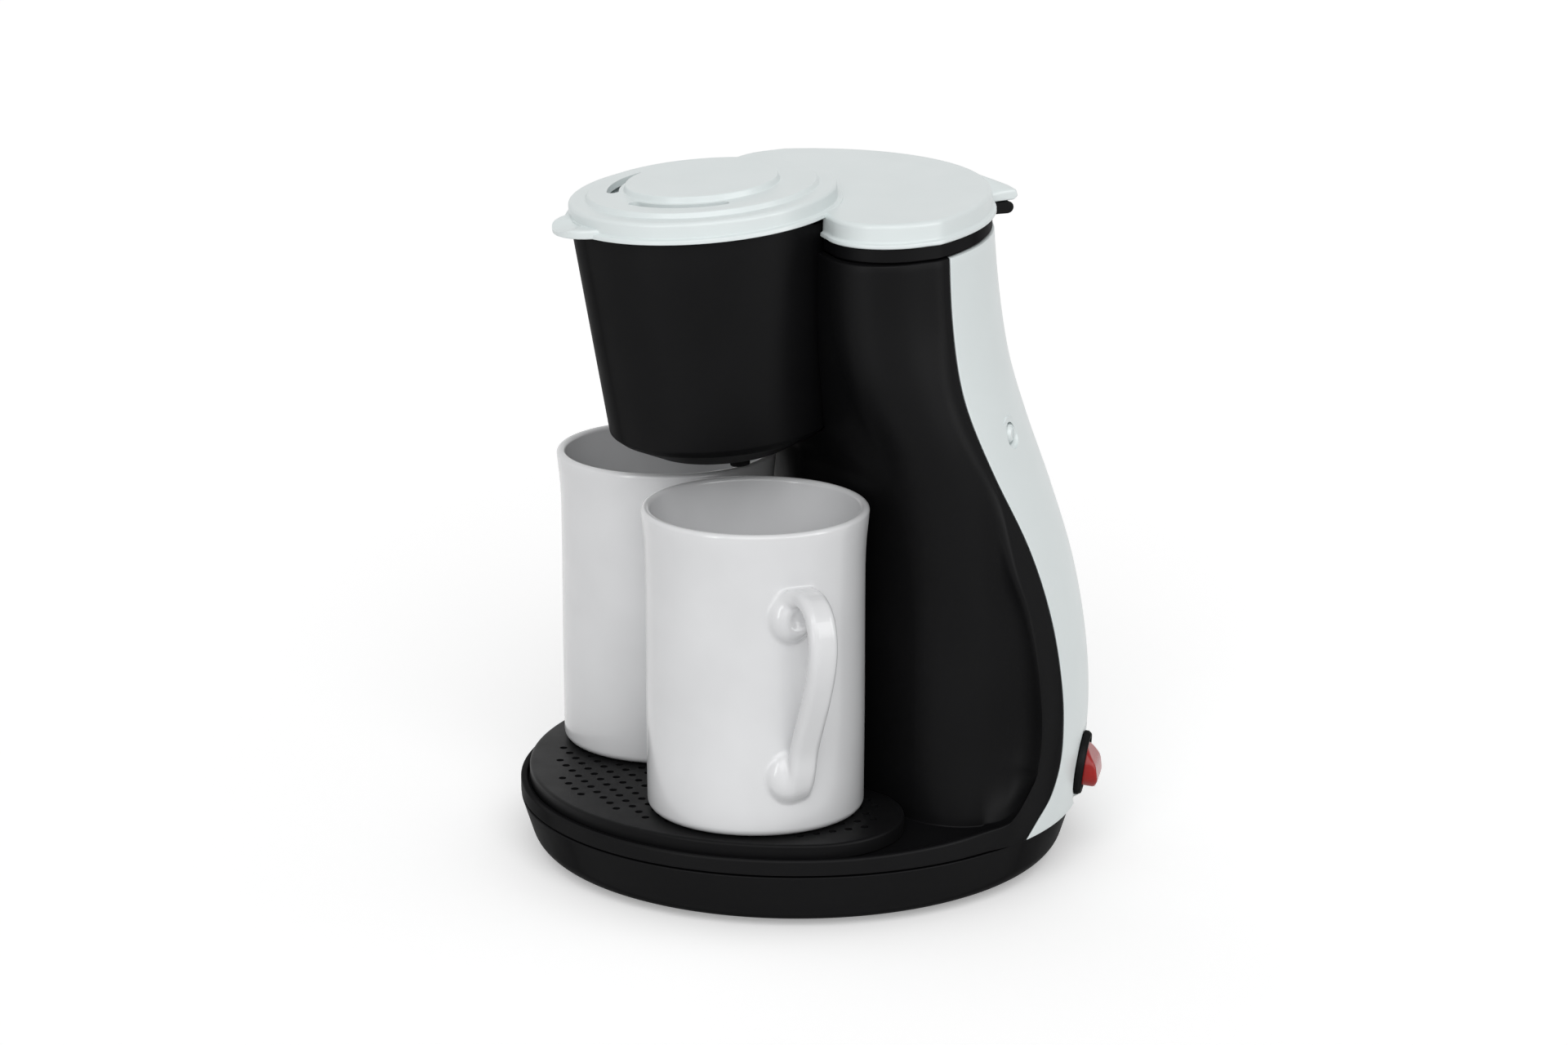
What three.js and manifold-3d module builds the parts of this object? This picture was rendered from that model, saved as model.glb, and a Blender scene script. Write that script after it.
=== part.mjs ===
// Two-cup drip coffee maker: a leaning brew bucket on a waisted tower, a round deck with a
// lift-out cup grid, two mugs, and a back cover that wraps the tower.
// Units are millimetres, +Z is up, the front faces -Y. The origin is at the bottom centre.

import * as THREE from 'three';
import { mergeVertices } from 'three/addons/utils/BufferGeometryUtils.js';
import Module from 'manifold-3d';

const wasm = await Module();
wasm.setup();

// ---------------------------------------------------------------- driving dimensions

const GAP = 0.3; // clearance left between neighbouring pieces
const WALL = 2.5; // wall of the large mouldings

const BASE_RADIUS = 85;
const BASE_SEGMENTS = 44;
const FOOT_HEIGHT = 1.5;
const PAN_TOP = 17.6;
const DECK_BOTTOM = 18.1;
const DECK_TOP = 23;
const DECK_FLOOR = 21.7;
const PAN_TAPER = 0.32; // inward draw of the pan's wall for each unit of depth
const PAN_CORNER = 8;

const TRAY_RADIUS = 82.2;
const TRAY_TOP = 26.7;
const TRAY_CORNER = 29.5;

const MUG_HEIGHT = 92.5;
const MUG_RADIUS = 32.5;
const MUG_RIM_RADIUS = 33.8;
const MUG_SPREAD = 36.1; // distance of each mug's axis from the middle
const MUG_Y = -28.5;
const MUG_BASE = 27;

const LEAN = THREE.MathUtils.degToRad(4.65); // forward lean of the bucket and the lid's drum
const DRUM_CENTRE = new THREE.Vector3(0, -30.8, 210.6); // middle of the lid's top disc
const BUCKET_TOP = -10; // heights along the leaning axis, from the lid's top disc
const BUCKET_BOTTOM = -82.2;

const PLATE_TILT = THREE.MathUtils.degToRad(2); // slope of the lid's rear plate
const PLATE_PIVOT = new THREE.Vector3(0, 40, 205.9);
const PLATE_HEIGHT = 7.1; // from the plate's top to the bottom of its lip
const NECK_HEIGHT = 4.8; // tank collar seen between the lid and the back cover

const SWITCH_TURN = THREE.MathUtils.degToRad(32.5); // from straight back, towards +X
const SWITCH_Z = 30;
const SWITCH_RADIUS = 9.9;
const GLAND_Z = 32;
const GLAND_REACH = 3.4;
const HINGE_Y = 66.9;
const HINGE_Z = 194.9;
const LUG_FLOOR = 197; // underside of the lid's lug, just above the tank's ears
const HEATER_POST_X = 34; // posts in the pan that carry the heater's bracket
const HEATER_POST_Y = 46;

// ---------------------------------------------------------------- shape helpers

const UP = new THREE.Vector3(0, 0, 1);

// A smooth curve through [position, value] pairs, as a function of position.
function fairCurve(knots) {
  const slope = knots.map((_, i) => {
    const a = knots[Math.max(i - 1, 0)];
    const b = knots[Math.min(i + 1, knots.length - 1)];
    return (b[1] - a[1]) / (b[0] - a[0]);
  });
  return (z) => {
    if (z <= knots[0][0]) return knots[0][1];
    for (let i = 1; i < knots.length; i++) {
      if (z > knots[i][0]) continue;
      const h = knots[i][0] - knots[i - 1][0];
      const t = (z - knots[i - 1][0]) / h;
      const ease = t * t * (3 - 2 * t);
      return knots[i - 1][1] * (1 - ease) + knots[i][1] * ease
        + slope[i - 1] * h * t * (1 - t) ** 2 - slope[i] * h * t * t * (1 - t);
    }
    return knots[knots.length - 1][1];
  };
}

function toSolid(geometry) {
  const bare = geometry.clone();
  bare.deleteAttribute('normal');
  bare.deleteAttribute('uv');
  const merged = mergeVertices(bare, 1e-4);
  const index = Array.from(merged.index.array);
  const triangles = [];
  for (let i = 0; i < index.length; i += 3) {
    const [a, b, c] = index.slice(i, i + 3);
    if (a !== b && b !== c && a !== c) triangles.push(a, b, c);
  }
  const vertProperties = Float32Array.from(merged.attributes.position.array);
  const build = (tris) => new wasm.Manifold(new wasm.Mesh({
    numProp: 3, vertProperties, triVerts: Uint32Array.from(tris),
  }));
  const solid = build(triangles);
  if (solid.volume() > 0) return solid;
  for (let i = 0; i < triangles.length; i += 3) {
    [triangles[i], triangles[i + 1]] = [triangles[i + 1], triangles[i]];
  }
  return build(triangles);
}

function toGeometry(solid) {
  const mesh = solid.getMesh();
  const positions = new Float32Array(mesh.numVert * 3);
  for (let v = 0; v < mesh.numVert; v++) {
    for (let k = 0; k < 3; k++) positions[3 * v + k] = mesh.vertProperties[v * mesh.numProp + k];
  }
  const geometry = new THREE.BufferGeometry();
  geometry.setAttribute('position', new THREE.BufferAttribute(positions, 3));
  geometry.setIndex(Array.from(mesh.triVerts));
  return geometry;
}

const unite = (...solids) => solids.reduce((a, b) => a.add(b));
const cut = (solid, ...tools) => tools.reduce((a, b) => a.subtract(b), solid);

// Stacked closed rings of Vector3, joined side by side and capped at both ends.
function loft(rings) {
  const count = rings[0].length;
  const points = rings.flat();
  const index = [];
  for (let i = 0; i + 1 < rings.length; i++) {
    for (let j = 0; j < count; j++) {
      const a = i * count + j;
      const b = i * count + (j + 1) % count;
      index.push(a, b, b + count, a, b + count, a + count);
    }
  }
  const last = (rings.length - 1) * count;
  const flat = (ring) => ring.map((p) => new THREE.Vector2(p.x, p.y));
  for (const [a, b, c] of THREE.ShapeUtils.triangulateShape(flat(rings[0]), [])) index.push(a, c, b);
  for (const [a, b, c] of THREE.ShapeUtils.triangulateShape(flat(rings[rings.length - 1]), [])) {
    index.push(last + a, last + b, last + c);
  }
  const geometry = new THREE.BufferGeometry().setFromPoints(points);
  geometry.setIndex(index);
  return toSolid(geometry);
}

function transformed(solid, matrix) {
  const geometry = toGeometry(solid);
  geometry.applyMatrix4(matrix);
  return toSolid(geometry);
}

function box(x0, x1, y0, y1, z0, z1) {
  const geometry = new THREE.BoxGeometry(x1 - x0, y1 - y0, z1 - z0);
  geometry.translate((x0 + x1) / 2, (y0 + y1) / 2, (z0 + z1) / 2);
  return toSolid(geometry);
}

// Revolves [radius, height] pairs about +Z.
function revolve(profile, segments = 48) {
  const geometry = new THREE.LatheGeometry(profile.map(([r, h]) => new THREE.Vector2(r, h)), segments);
  geometry.rotateX(Math.PI / 2);
  return toSolid(geometry);
}

// A rod along +Z from the origin's height z0 to z1.
function rod(radius, z0, z1, segments = 24, topRadius = radius) {
  const geometry = new THREE.CylinderGeometry(topRadius, radius, z1 - z0, segments);
  geometry.rotateX(Math.PI / 2);
  geometry.translate(0, 0, (z0 + z1) / 2);
  return toSolid(geometry);
}

// Extrudes an outline in the ground plane upwards from z0 to z1.
function slab(outline, z0, z1) {
  const shape = new THREE.Shape(outline.map(([x, y]) => new THREE.Vector2(x, y)));
  const geometry = new THREE.ExtrudeGeometry(shape, { depth: z1 - z0, bevelEnabled: false });
  geometry.translate(0, 0, z0);
  return toSolid(geometry);
}

// Extrudes a side profile of [y, z] pairs across the width from x0 to x1.
function acrossWidth(profile, x0, x1) {
  const shape = new THREE.Shape(profile.map(([y, z]) => new THREE.Vector2(y, z)));
  const geometry = new THREE.ExtrudeGeometry(shape, { depth: x1 - x0, bevelEnabled: false });
  const basis = new THREE.Matrix4().makeBasis(
    new THREE.Vector3(0, 1, 0), new THREE.Vector3(0, 0, 1), new THREE.Vector3(1, 0, 0),
  );
  geometry.applyMatrix4(basis);
  geometry.translate(x0, 0, 0);
  return toSolid(geometry);
}

// Sweeps an elliptical section along a smooth route of [x, y, z] points.
function sweep(route, halfAcross, halfThick, steps, sides = 10) {
  const path = new THREE.CatmullRomCurve3(route.map((p) => new THREE.Vector3(...p)));
  const section = new THREE.Shape();
  section.absellipse(0, 0, halfAcross, halfThick, 0, 2 * Math.PI);
  const outline = new THREE.Shape(section.getPoints(sides).slice(0, sides));
  return toSolid(new THREE.ExtrudeGeometry(outline, { steps, extrudePath: path }));
}

// A hose: a sweep with a bore right through it.
function hose(route, radius, bore, steps) {
  const long = new THREE.CatmullRomCurve3(route.map((p) => new THREE.Vector3(...p)));
  const before = long.getPoint(0).addScaledVector(long.getTangent(0), -1);
  const after = long.getPoint(1).addScaledVector(long.getTangent(1), 1);
  const longer = [before.toArray(), ...route, after.toArray()];
  return cut(sweep(route, radius, radius, steps, 8), sweep(longer, bore, bore, steps, 6));
}

const arcPoints = (cx, cy, r, from, to, count) => Array.from({ length: count + 1 }, (_, i) => {
  const a = THREE.MathUtils.degToRad(from + (to - from) * i / count);
  return [cx + r * Math.cos(a), cy + r * Math.sin(a)];
});

const mirrored = (half) => [...half, ...half.map(([x, y]) => [-x, y]).reverse()];

// ---------------------------------------------------------------- local frames

const leanFrame = new THREE.Matrix4().makeTranslation(DRUM_CENTRE)
  .multiply(new THREE.Matrix4().makeRotationX(LEAN));

const plateFrame = new THREE.Matrix4().makeTranslation(PLATE_PIVOT)
  .multiply(new THREE.Matrix4().makeRotationX(PLATE_TILT))
  .multiply(new THREE.Matrix4().makeTranslation(0, -PLATE_PIVOT.y, 0));

const leaning = (solid) => transformed(solid, leanFrame);
const plated = (solid) => transformed(solid, plateFrame);
const placed = (solid, x, y, z) => solid.translate([x, y, z]);

// Turns +Z of a piece to the given direction and moves its origin to a point.
function aimed(solid, point, direction) {
  const turn = new THREE.Quaternion().setFromUnitVectors(UP, direction.clone().normalize());
  return transformed(solid, new THREE.Matrix4().compose(point, turn, new THREE.Vector3(1, 1, 1)));
}

// ---------------------------------------------------------------- governing surfaces

// The rear bell: circles whose radius swells towards the base and whose centre drifts back.
const bellRadius = fairCurve([
  [15, 86], [30, 88.4], [50, 90.2], [70, 89.4], [92, 86], [115, 79.7], [136, 73], [155, 68],
  [176, 65.3], [200, 64],
]);
const bellCentre = (z) => -6.2 * THREE.MathUtils.clamp((z - 18) / 179, 0, 1);

// The joint between tower and back cover, seen from the side: depth for each height.
const seamDepth = fairCurve([
  [16, 40.5], [23, 47], [29, 53], [38, 56.8], [50, 57.6], [62, 57], [82, 53.8], [105, 46.8],
  [128, 36], [150, 27.8], [172, 24.8], [205, 24],
]);

// Front edge of the wide rim that carries the joint down to the deck.
const rimDepth = fairCurve([
  [16, 30], [24, 36.4], [31, 42.5], [38, 46], [46, 47.3], [62, 45], [77, 42.3], [90, 39],
  [104, 36.2], [122, 35.5],
]);

// The tower's side and front, which step back above the mugs.
const sideReach = fairCurve([[18, 65.6], [110, 66], [135, 65.3], [157, 62.4], [176, 59.6], [205, 58]]);
const shoulderDepth = fairCurve([
  [18, 31.2], [80, 31.2], [104, 30], [120, 27.3], [135, 22.8], [148, 17.8], [160, 14.2], [176, 12],
  [205, 11],
]);
const frontDepth = fairCurve([
  [18, 2], [60, 1.9], [90, 1.8], [123, 1.5], [131, -2.2], [141, -6.2], [205, -6.4],
]);
const shoulderStart = fairCurve([[18, -66], [90, -66], [130, -84], [205, -96]]);
const SHOULDER_RADIUS = 18.5;
const TOWER_BACK = 95;
const COVE_DEPTH = 12; // run of the hollow that sweeps the tower's side out to the rim
const COVE_TURN = THREE.MathUtils.degToRad(76);

function bellSolid(inset, z0, z1, levels = 9) {
  const rings = [];
  for (let i = 0; i <= levels; i++) {
    const z = z0 + (z1 - z0) * i / levels;
    const r = bellRadius(z) - inset;
    rings.push(arcPoints(0, bellCentre(z), r, 0, 360, 44).slice(0, 44)
      .map(([x, y]) => new THREE.Vector3(x, y, z)));
  }
  return loft(rings);
}

// The tower's front and shoulder at a height, from the middle to the start of its side.
function towerFront(z, inset) {
  const cx = sideReach(z) - SHOULDER_RADIUS;
  const radius = SHOULDER_RADIUS - inset;
  const shoulder = arcPoints(cx, shoulderDepth(z), radius, shoulderStart(z), 0, 5);
  const [sx, sy] = shoulder[0];
  const fy = frontDepth(z) + inset;
  const half = [];
  for (let i = 0; i < 4; i++) {
    const t = i / 4;
    const bow = t ** 1.3; // a soft ridge down the middle, hollowed behind the mugs
    half.push([sx * t, fy + (sy - fy) * bow]);
  }
  return [...half, ...shoulder];
}

// A ring from half an outline that starts on the middle line.
const ringAt = (half, z) => [...half, ...half.slice(1).map(([x, y]) => [-x, y]).reverse()]
  .map(([x, y]) => new THREE.Vector3(x, y, z));

function towerSolid(inset, z0, z1, levels = 9) {
  const rings = [];
  for (let i = 0; i <= levels; i++) {
    const z = z0 + (z1 - z0) * i / levels;
    rings.push(ringAt([...towerFront(z, inset), [sideReach(z) - inset, TOWER_BACK]], z));
  }
  return loft(rings);
}

// The rim's front edge, which closes on the tower's side further up.
function rimEdge(z, inset) {
  const r = bellRadius(z) - inset;
  const meeting = bellCentre(z) + Math.sqrt(r ** 2 - (sideReach(z) - inset) ** 2);
  return Math.min(rimDepth(z) + inset, meeting);
}

// The whole housing at a height: front, shoulder, side, cove, rim and a little past the joint.
function housingRing(z, inset) {
  const side = sideReach(z) - inset;
  const r = bellRadius(z) - inset;
  const edge = rimEdge(z, inset);
  const start = Math.min(Math.max(edge - COVE_DEPTH, shoulderDepth(z) + 1), edge - 0.5);
  const lip = Math.sqrt(r ** 2 - (edge - bellCentre(z)) ** 2) - side;
  const half = towerFront(z, inset);
  for (let i = 0; i <= 4; i++) {
    const turn = COVE_TURN * i / 4;
    half.push([
      side + lip * (1 - Math.cos(turn)) / (1 - Math.cos(COVE_TURN)),
      start + (edge - start) * Math.sin(turn) / Math.sin(COVE_TURN),
    ]);
  }
  const past = seamDepth(z) + 8;
  for (const depth of [(edge * 2 + past) / 3, (edge + past * 2) / 3, past]) {
    half.push([Math.sqrt(r ** 2 - (depth - bellCentre(z)) ** 2), depth]);
  }
  return ringAt([...half, [half[half.length - 1][0], TOWER_BACK]], z);
}

const HOUSING_LEVELS = [
  DECK_BOTTOM, 24, 31, 38, 46, 56, 70, 86, 102, 116, 124, 133, 142, 152, 164, 206,
];
const INSIDE_LEVELS = [10, DECK_BOTTOM, 31, 46, 70, 102, 122, 127, 133, 142, 164, 208];
const housingSolid = (inset, levels) => loft(levels.map((z) => housingRing(z, inset)));

// Everything behind the joint, moved back by an offset.
function behindSeam(offset) {
  const profile = [];
  for (let z = 14; z <= 204; z += 12) profile.push([seamDepth(z) + offset, z]);
  return acrossWidth([[130, 4], [130, 214], [seamDepth(205) + offset, 214], ...profile.reverse(),
    [seamDepth(14) + offset, 4]], -110, 110);
}

// The bucket's cone, grown by an offset and open upwards.
const BUCKET_SEGMENTS = 40;
const bucketFoot = [[21, BUCKET_BOTTOM], [31.2, -77], [33.4, -75.2], [34, -73.2]];
const bucketCone = (offset, segments = BUCKET_SEGMENTS) => leaning(revolve([
  [0, BUCKET_BOTTOM - offset], ...bucketFoot.map(([r, h]) => [r + offset, h - offset]),
  [39.7 + offset, BUCKET_TOP], [40.7 + offset, 2], [0, 2],
], segments));

// The outline shared by the lid's rear plate and the neck below it.
function plateOutline(offset) {
  const side = 58 + offset;
  const rear = 63.5 + offset;
  const corner = THREE.MathUtils.radToDeg(Math.acos(side / rear));
  return mirrored([
    ...arcPoints(39.5, 13.2, SHOULDER_RADIUS + offset, -100, 0, 6),
    ...arcPoints(0, -6.2, rear, corner, 87.5, 7),
  ]);
}

// ---------------------------------------------------------------- materials

const finish = (color, roughness, metalness = 0) => new THREE.MeshStandardMaterial({
  color, roughness, metalness, flatShading: true,
});
const material = {
  black: finish(0x161718, 0.42),
  white: finish(0xe4ebea, 0.3),
  ceramic: finish(0xe6e6e8, 0.12),
  rubber: finish(0x101010, 0.85),
  red: finish(0xc8322c, 0.2),
  steel: finish(0xb9bcc0, 0.3, 1),
  aluminium: finish(0xa9adb0, 0.45, 1),
  silicone: finish(0xd8d4c8, 0.6),
  nylon: finish(0xd6d2b8, 0.5),
  phenolic: finish(0x2a2018, 0.6),
};

// The box that the parts fill is centred on the origin from front to back.
const FRONT_REACH = BASE_RADIUS;
const REAR_REACH = bellCentre(GLAND_Z) + bellRadius(GLAND_Z) + GLAND_REACH;
const machine = new THREE.Group();
machine.position.y = (FRONT_REACH - REAR_REACH) / 2;

function part(name, solid, look) {
  const mesh = new THREE.Mesh(toGeometry(solid), look);
  mesh.name = name;
  machine.add(mesh);
}

// ---------------------------------------------------------------- base

const panRadius = (z) => BASE_RADIUS - PAN_TAPER * (PAN_TOP - z);

function panProfile(inset, top) {
  const draw = Math.atan(PAN_TAPER);
  const r = PAN_CORNER - inset;
  const cz = FOOT_HEIGHT + PAN_CORNER;
  const tangent = cz - PAN_CORNER * Math.sin(draw);
  const cx = panRadius(tangent) - PAN_CORNER * Math.cos(draw);
  const curve = arcPoints(cx, cz, r, -90, -THREE.MathUtils.radToDeg(draw), 3);
  return [[0, FOOT_HEIGHT + inset], ...curve, [panRadius(top) - inset, top], [0, top]];
}

const footPlaces = [[29, -54.7], [-29, -54.7], [46, 42], [-46, 42]];
const screwPlaces = [[50, -50], [-50, -50], [70.5, 14], [-70.5, 14]];
const SCREW_SEAT = 6.7;

function basePan() {
  let pan = cut(revolve(panProfile(0, PAN_TOP), BASE_SEGMENTS), revolve(panProfile(WALL, PAN_TOP + 1), 30));
  for (const [x, y] of screwPlaces) {
    pan = pan.add(placed(rod(4.6, 3, 10.2, 12), x, y, 0));
    pan = cut(pan, placed(rod(3.4, 0, 7, 10), x, y, 0), placed(rod(1.7, 5, 20, 8), x, y, 0));
  }
  for (const [x, y] of footPlaces) {
    pan = pan.add(placed(rod(8.6, 3, 5.4, 16), x, y, 0));
    pan = cut(pan, placed(rod(6.8, 0, 3.4, 16), x, y, 0));
  }
  for (let i = -3; i <= 3; i++) {
    pan = cut(pan, box(i * 6 - 1.2, i * 6 + 1.2, 28, 46, -1, 6));
  }
  for (const side of [-1, 1]) {
    pan = pan.add(placed(rod(3.6, 3.5, 20, 10), side * HEATER_POST_X, HEATER_POST_Y, 0));
    pan = cut(pan, placed(rod(1.5, 12, 21, 8), side * HEATER_POST_X, HEATER_POST_Y, 0));
  }
  const clip = cut(box(-15, 15, 62, 74, 3.5, 8), box(-12.8, 12.8, 60, 76, 5.2, 9));
  return pan.add(clip);
}

part('base_pan', basePan(), material.black);

footPlaces.forEach(([x, y], i) => {
  const foot = revolve([[0, 0], [5.6, 0], [6.4, 0.8], [6.4, 3.1], [0, 3.1]], 14);
  part(`foot_${i + 1}`, placed(foot, x, y, 0), material.rubber);
});

// A pan-head screw with its seat at the origin, driven along +Z.
function panHeadScrew(shank, length) {
  const body = revolve([
    [0, -2], [1.9, -2], [2.8, -1], [2.8, 0], [shank, 0], [shank, length], [0, length + 0.9],
  ], 8);
  return cut(body, box(-0.4, 0.4, -3, 3, -3, -1.2));
}

screwPlaces.forEach(([x, y], i) => {
  part(`base_screw_${i + 1}`, placed(panHeadScrew(1.4, 6), x, y, SCREW_SEAT), material.steel);
});

// ---------------------------------------------------------------- tray outline and drip well

function trayOutline(inset) {
  const r = TRAY_CORNER - inset;
  const reach = TRAY_RADIUS - TRAY_CORNER;
  const turn = 20; // degrees by which the corner's centre sits ahead of the sideways axis
  const a = THREE.MathUtils.degToRad(-turn);
  const [cx, cy] = [reach * Math.cos(a), reach * Math.sin(a)];
  const backRadius = 98;
  const back = arcPoints(0, 98.6, backRadius + inset, -90, -90 + 27, 6)
    .filter(([x, y]) => Math.hypot(x - cx, y - cy) > r);
  return mirrored([
    ...arcPoints(0, 0, TRAY_RADIUS - inset, -90, -turn, 8).slice(1),
    ...arcPoints(cx, cy, r, -turn, 96, 6).slice(1),
    ...back.reverse().slice(0, -1),
  ]);
}

// ---------------------------------------------------------------- body shell

const neckCut = plated(box(-120, 120, -120, 160, -PLATE_HEIGHT - NECK_HEIGHT, 60));
const bucketNest = bucketCone(GAP);
const coverScrewDirection = new THREE.Vector3(51.2, 51.6, 0).normalize();
const COVER_SCREW_Z = 137;
const coverScrewPoint = (side) => {
  const r = bellRadius(COVER_SCREW_Z);
  return new THREE.Vector3(side * r * coverScrewDirection.x,
    bellCentre(COVER_SCREW_Z) + r * coverScrewDirection.y, COVER_SCREW_Z);
};
const coverScrewAxis = (side) => new THREE.Vector3(side * coverScrewDirection.x,
  coverScrewDirection.y, 0);

const TANK_TOP_STEP = 144; // the tank's shoulders; its middle hangs lower, between the screw lugs

function bodyShell() {
  const housing = housingSolid(0, HOUSING_LEVELS);
  const inside = housingSolid(WALL, INSIDE_LEVELS).subtract(bucketCone(GAP + WALL, 24));
  const deck = cut(
    rod(BASE_RADIUS, DECK_BOTTOM, DECK_TOP, BASE_SEGMENTS),
    rod(BASE_RADIUS - 2.2, DECK_FLOOR, DECK_TOP + 1, BASE_SEGMENTS),
  );
  const well = slab(trayOutline(3), 13.4, DECK_FLOOR);
  const wellInside = slab(trayOutline(5), 15.4, 40).subtract(housing);
  const underDeck = rod(BASE_RADIUS - WALL, 10, DECK_FLOOR - 2, 30)
    .subtract(slab(trayOutline(3), 10, 40));
  let body = cut(unite(deck, housing, well), inside, underDeck, wellInside, bucketNest,
    behindSeam(0), neckCut);
  for (const [x, y] of screwPlaces) {
    const boss = placed(rod(4.2, 10.5, y < 0 ? 14 : 20.5, 12), x, y, 0);
    const pilot = placed(rod(1.7, 9, 14.4, 8), x, y, 0);
    body = cut(body.add(boss), pilot);
  }
  for (const side of [-1, 1]) {
    const [x0, x1] = side > 0 ? [38, 66] : [-66, -38];
    const root = box(x0, x1, 25, 30, 133, 141.5).intersect(towerSolid(0.8, 100, 160, 6));
    const arm = box(x0, x1, 25, 44, 133, 141.5).intersect(bellSolid(4.8, 100, 160, 6));
    const lug = aimed(rod(4.5, -16, -4.2, 12), coverScrewPoint(side), coverScrewAxis(side));
    const pilot = aimed(rod(1.7, -13, 3, 8), coverScrewPoint(side), coverScrewAxis(side));
    body = cut(unite(body, root, arm, lug), pilot);
  }
  return body;
}

part('body_shell', bodyShell(), material.black);

// ---------------------------------------------------------------- brew bucket and basket

const LEDGE = -22; // height of the step that carries the basket's rim
const NOZZLE_X = 13;

function filterBucket() {
  const shell = leaning(revolve([
    [0, BUCKET_BOTTOM], ...bucketFoot,
    [39.7, BUCKET_TOP], [37.5, BUCKET_TOP], [36.6, LEDGE], [35.3, LEDGE], [35.6, LEDGE - 3.2],
    [31.6, -73.5], [20.5, -80], [0, -80],
  ], BUCKET_SEGMENTS));
  const rearRelief = box(-60, 60, -9, 30, 201.3, 230);
  const spoutNotch = box(-3, 3, -9, 30, 196.6, 230);
  const holes = [-1, 1].map((side) => leaning(placed(rod(3.4, -84, -78, 10), side * NOZZLE_X, 0, 0)));
  return cut(shell, rearRelief, spoutNotch, ...holes);
}

part('filter_bucket', filterBucket(), material.black);

for (const [side, word] of [[1, 'right'], [-1, 'left']]) {
  const nozzle = revolve([
    [1.7, -85.4], [3, -85.4], [3, -79.7], [4.6, -79.7], [4.6, -78.7], [1.7, -78.7],
    [1.7, -85.4],
  ], 10);
  part(`drip_nozzle_${word}`, leaning(placed(nozzle, side * NOZZLE_X, 0, 0)), material.black);
}

const basketRadius = (h) => 34.6 - (LEDGE - h) * 0.135;
const BASKET_FLOOR = -70;

function filterFrame() {
  const r = basketRadius;
  let frame = revolve([
    [0, BASKET_FLOOR], [r(BASKET_FLOOR), BASKET_FLOOR], [r(LEDGE), LEDGE + GAP],
    [36.2, LEDGE + GAP], [36.2, LEDGE + 1.7], [r(LEDGE) - 1.6, LEDGE + 1.7],
    [r(BASKET_FLOOR + 1.6) - 1.6, BASKET_FLOOR + 1.6], [0, BASKET_FLOOR + 1.6],
  ], 24);
  const window = box(26, 40, -6.5, 6.5, -62, -31);
  for (let i = 0; i < 8; i++) {
    const turn = new THREE.Matrix4().makeRotationZ((i + 0.5) * Math.PI / 4);
    frame = frame.subtract(transformed(window, turn));
  }
  const floorWindow = cut(rod(21, -75, -60, 16), rod(7, -76, -59, 10), box(-30, 30, -1.5, 1.5, -76, -59),
    box(-1.5, 1.5, -30, 30, -76, -59));
  return leaning(frame.subtract(floorWindow));
}

part('filter_frame', filterFrame(), material.black);

function filterMesh() {
  const r = (h) => basketRadius(h) - 1.6 - GAP;
  const [low, high] = [BASKET_FLOOR + 1.6 + GAP, -28];
  return leaning(revolve([
    [0, low], [r(low), low], [r(high), high], [r(high) - 0.6, high], [r(low) - 0.7, low + 0.6],
    [0, low + 0.6],
  ], 24));
}

part('filter_mesh', filterMesh(), material.nylon);

// ---------------------------------------------------------------- back cover and its fittings

const across = (turn) => new THREE.Vector3(-Math.cos(turn), Math.sin(turn), 0);
const switchFacing = new THREE.Vector3(
  Math.sin(SWITCH_TURN), Math.cos(SWITCH_TURN), -Math.sin(THREE.MathUtils.degToRad(8)),
).normalize();
const switchPoint = new THREE.Vector3(
  bellRadius(SWITCH_Z) * Math.sin(SWITCH_TURN),
  bellCentre(SWITCH_Z) + bellRadius(SWITCH_Z) * Math.cos(SWITCH_TURN), SWITCH_Z,
);
const switchFrame = new THREE.Matrix4().makeBasis(
  across(SWITCH_TURN), new THREE.Vector3().crossVectors(switchFacing, across(SWITCH_TURN)), switchFacing,
).setPosition(switchPoint);
const atSwitch = (solid) => transformed(solid, switchFrame);

const glandPoint = new THREE.Vector3(0, bellCentre(GLAND_Z) + bellRadius(GLAND_Z), GLAND_Z);
const BACK = new THREE.Vector3(0, 1, 0);

function backCover() {
  const skin = bellSolid(0, DECK_BOTTOM, 206).intersect(behindSeam(GAP));
  let cover = cut(skin, bellSolid(WALL, 10, 208), neckCut);
  const pads = unite(
    atSwitch(rod(12.5, -4.5, 0, 16)).intersect(bellSolid(0.2, 10, 60, 4)),
    aimed(rod(9, -4, 0, 12), glandPoint, BACK).intersect(bellSolid(0.2, 10, 60, 4)),
  );
  cover = unite(cover, pads);
  for (const side of [-1, 1]) {
    const at = (solid) => aimed(solid, coverScrewPoint(side), coverScrewAxis(side));
    const boss = at(rod(5.4, -3, -0.4, 12)).intersect(bellSolid(0.2, 110, 160, 5));
    cover = cut(cover.add(boss), at(rod(3.5, -1.9, 4, 14)), at(rod(1.7, -6, 4, 8)));
  }
  const scoop = atSwitch(rod(12.4, -1, 4, 20, 13.2));
  const switchHole = atSwitch(rod(9.3, -9, 4, 20));
  const glandHole = unite(aimed(rod(5.3, -9, 4, 12), glandPoint, BACK),
    aimed(rod(7.4, 0, 4, 14), glandPoint, BACK));
  return cut(cover, scoop, switchHole, glandHole);
}

part('back_cover', backCover(), material.white);

for (const [side, word] of [[1, 'right'], [-1, 'left']]) {
  const inward = coverScrewAxis(side).negate();
  const seat = coverScrewPoint(side).addScaledVector(inward, 1.6);
  part(`cover_screw_${word}`, aimed(panHeadScrew(1.4, 9), seat, inward), material.steel);
}

const ROCKER_DEPTH = -0.5; // pivot of the rocker, from the face of its bezel

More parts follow.
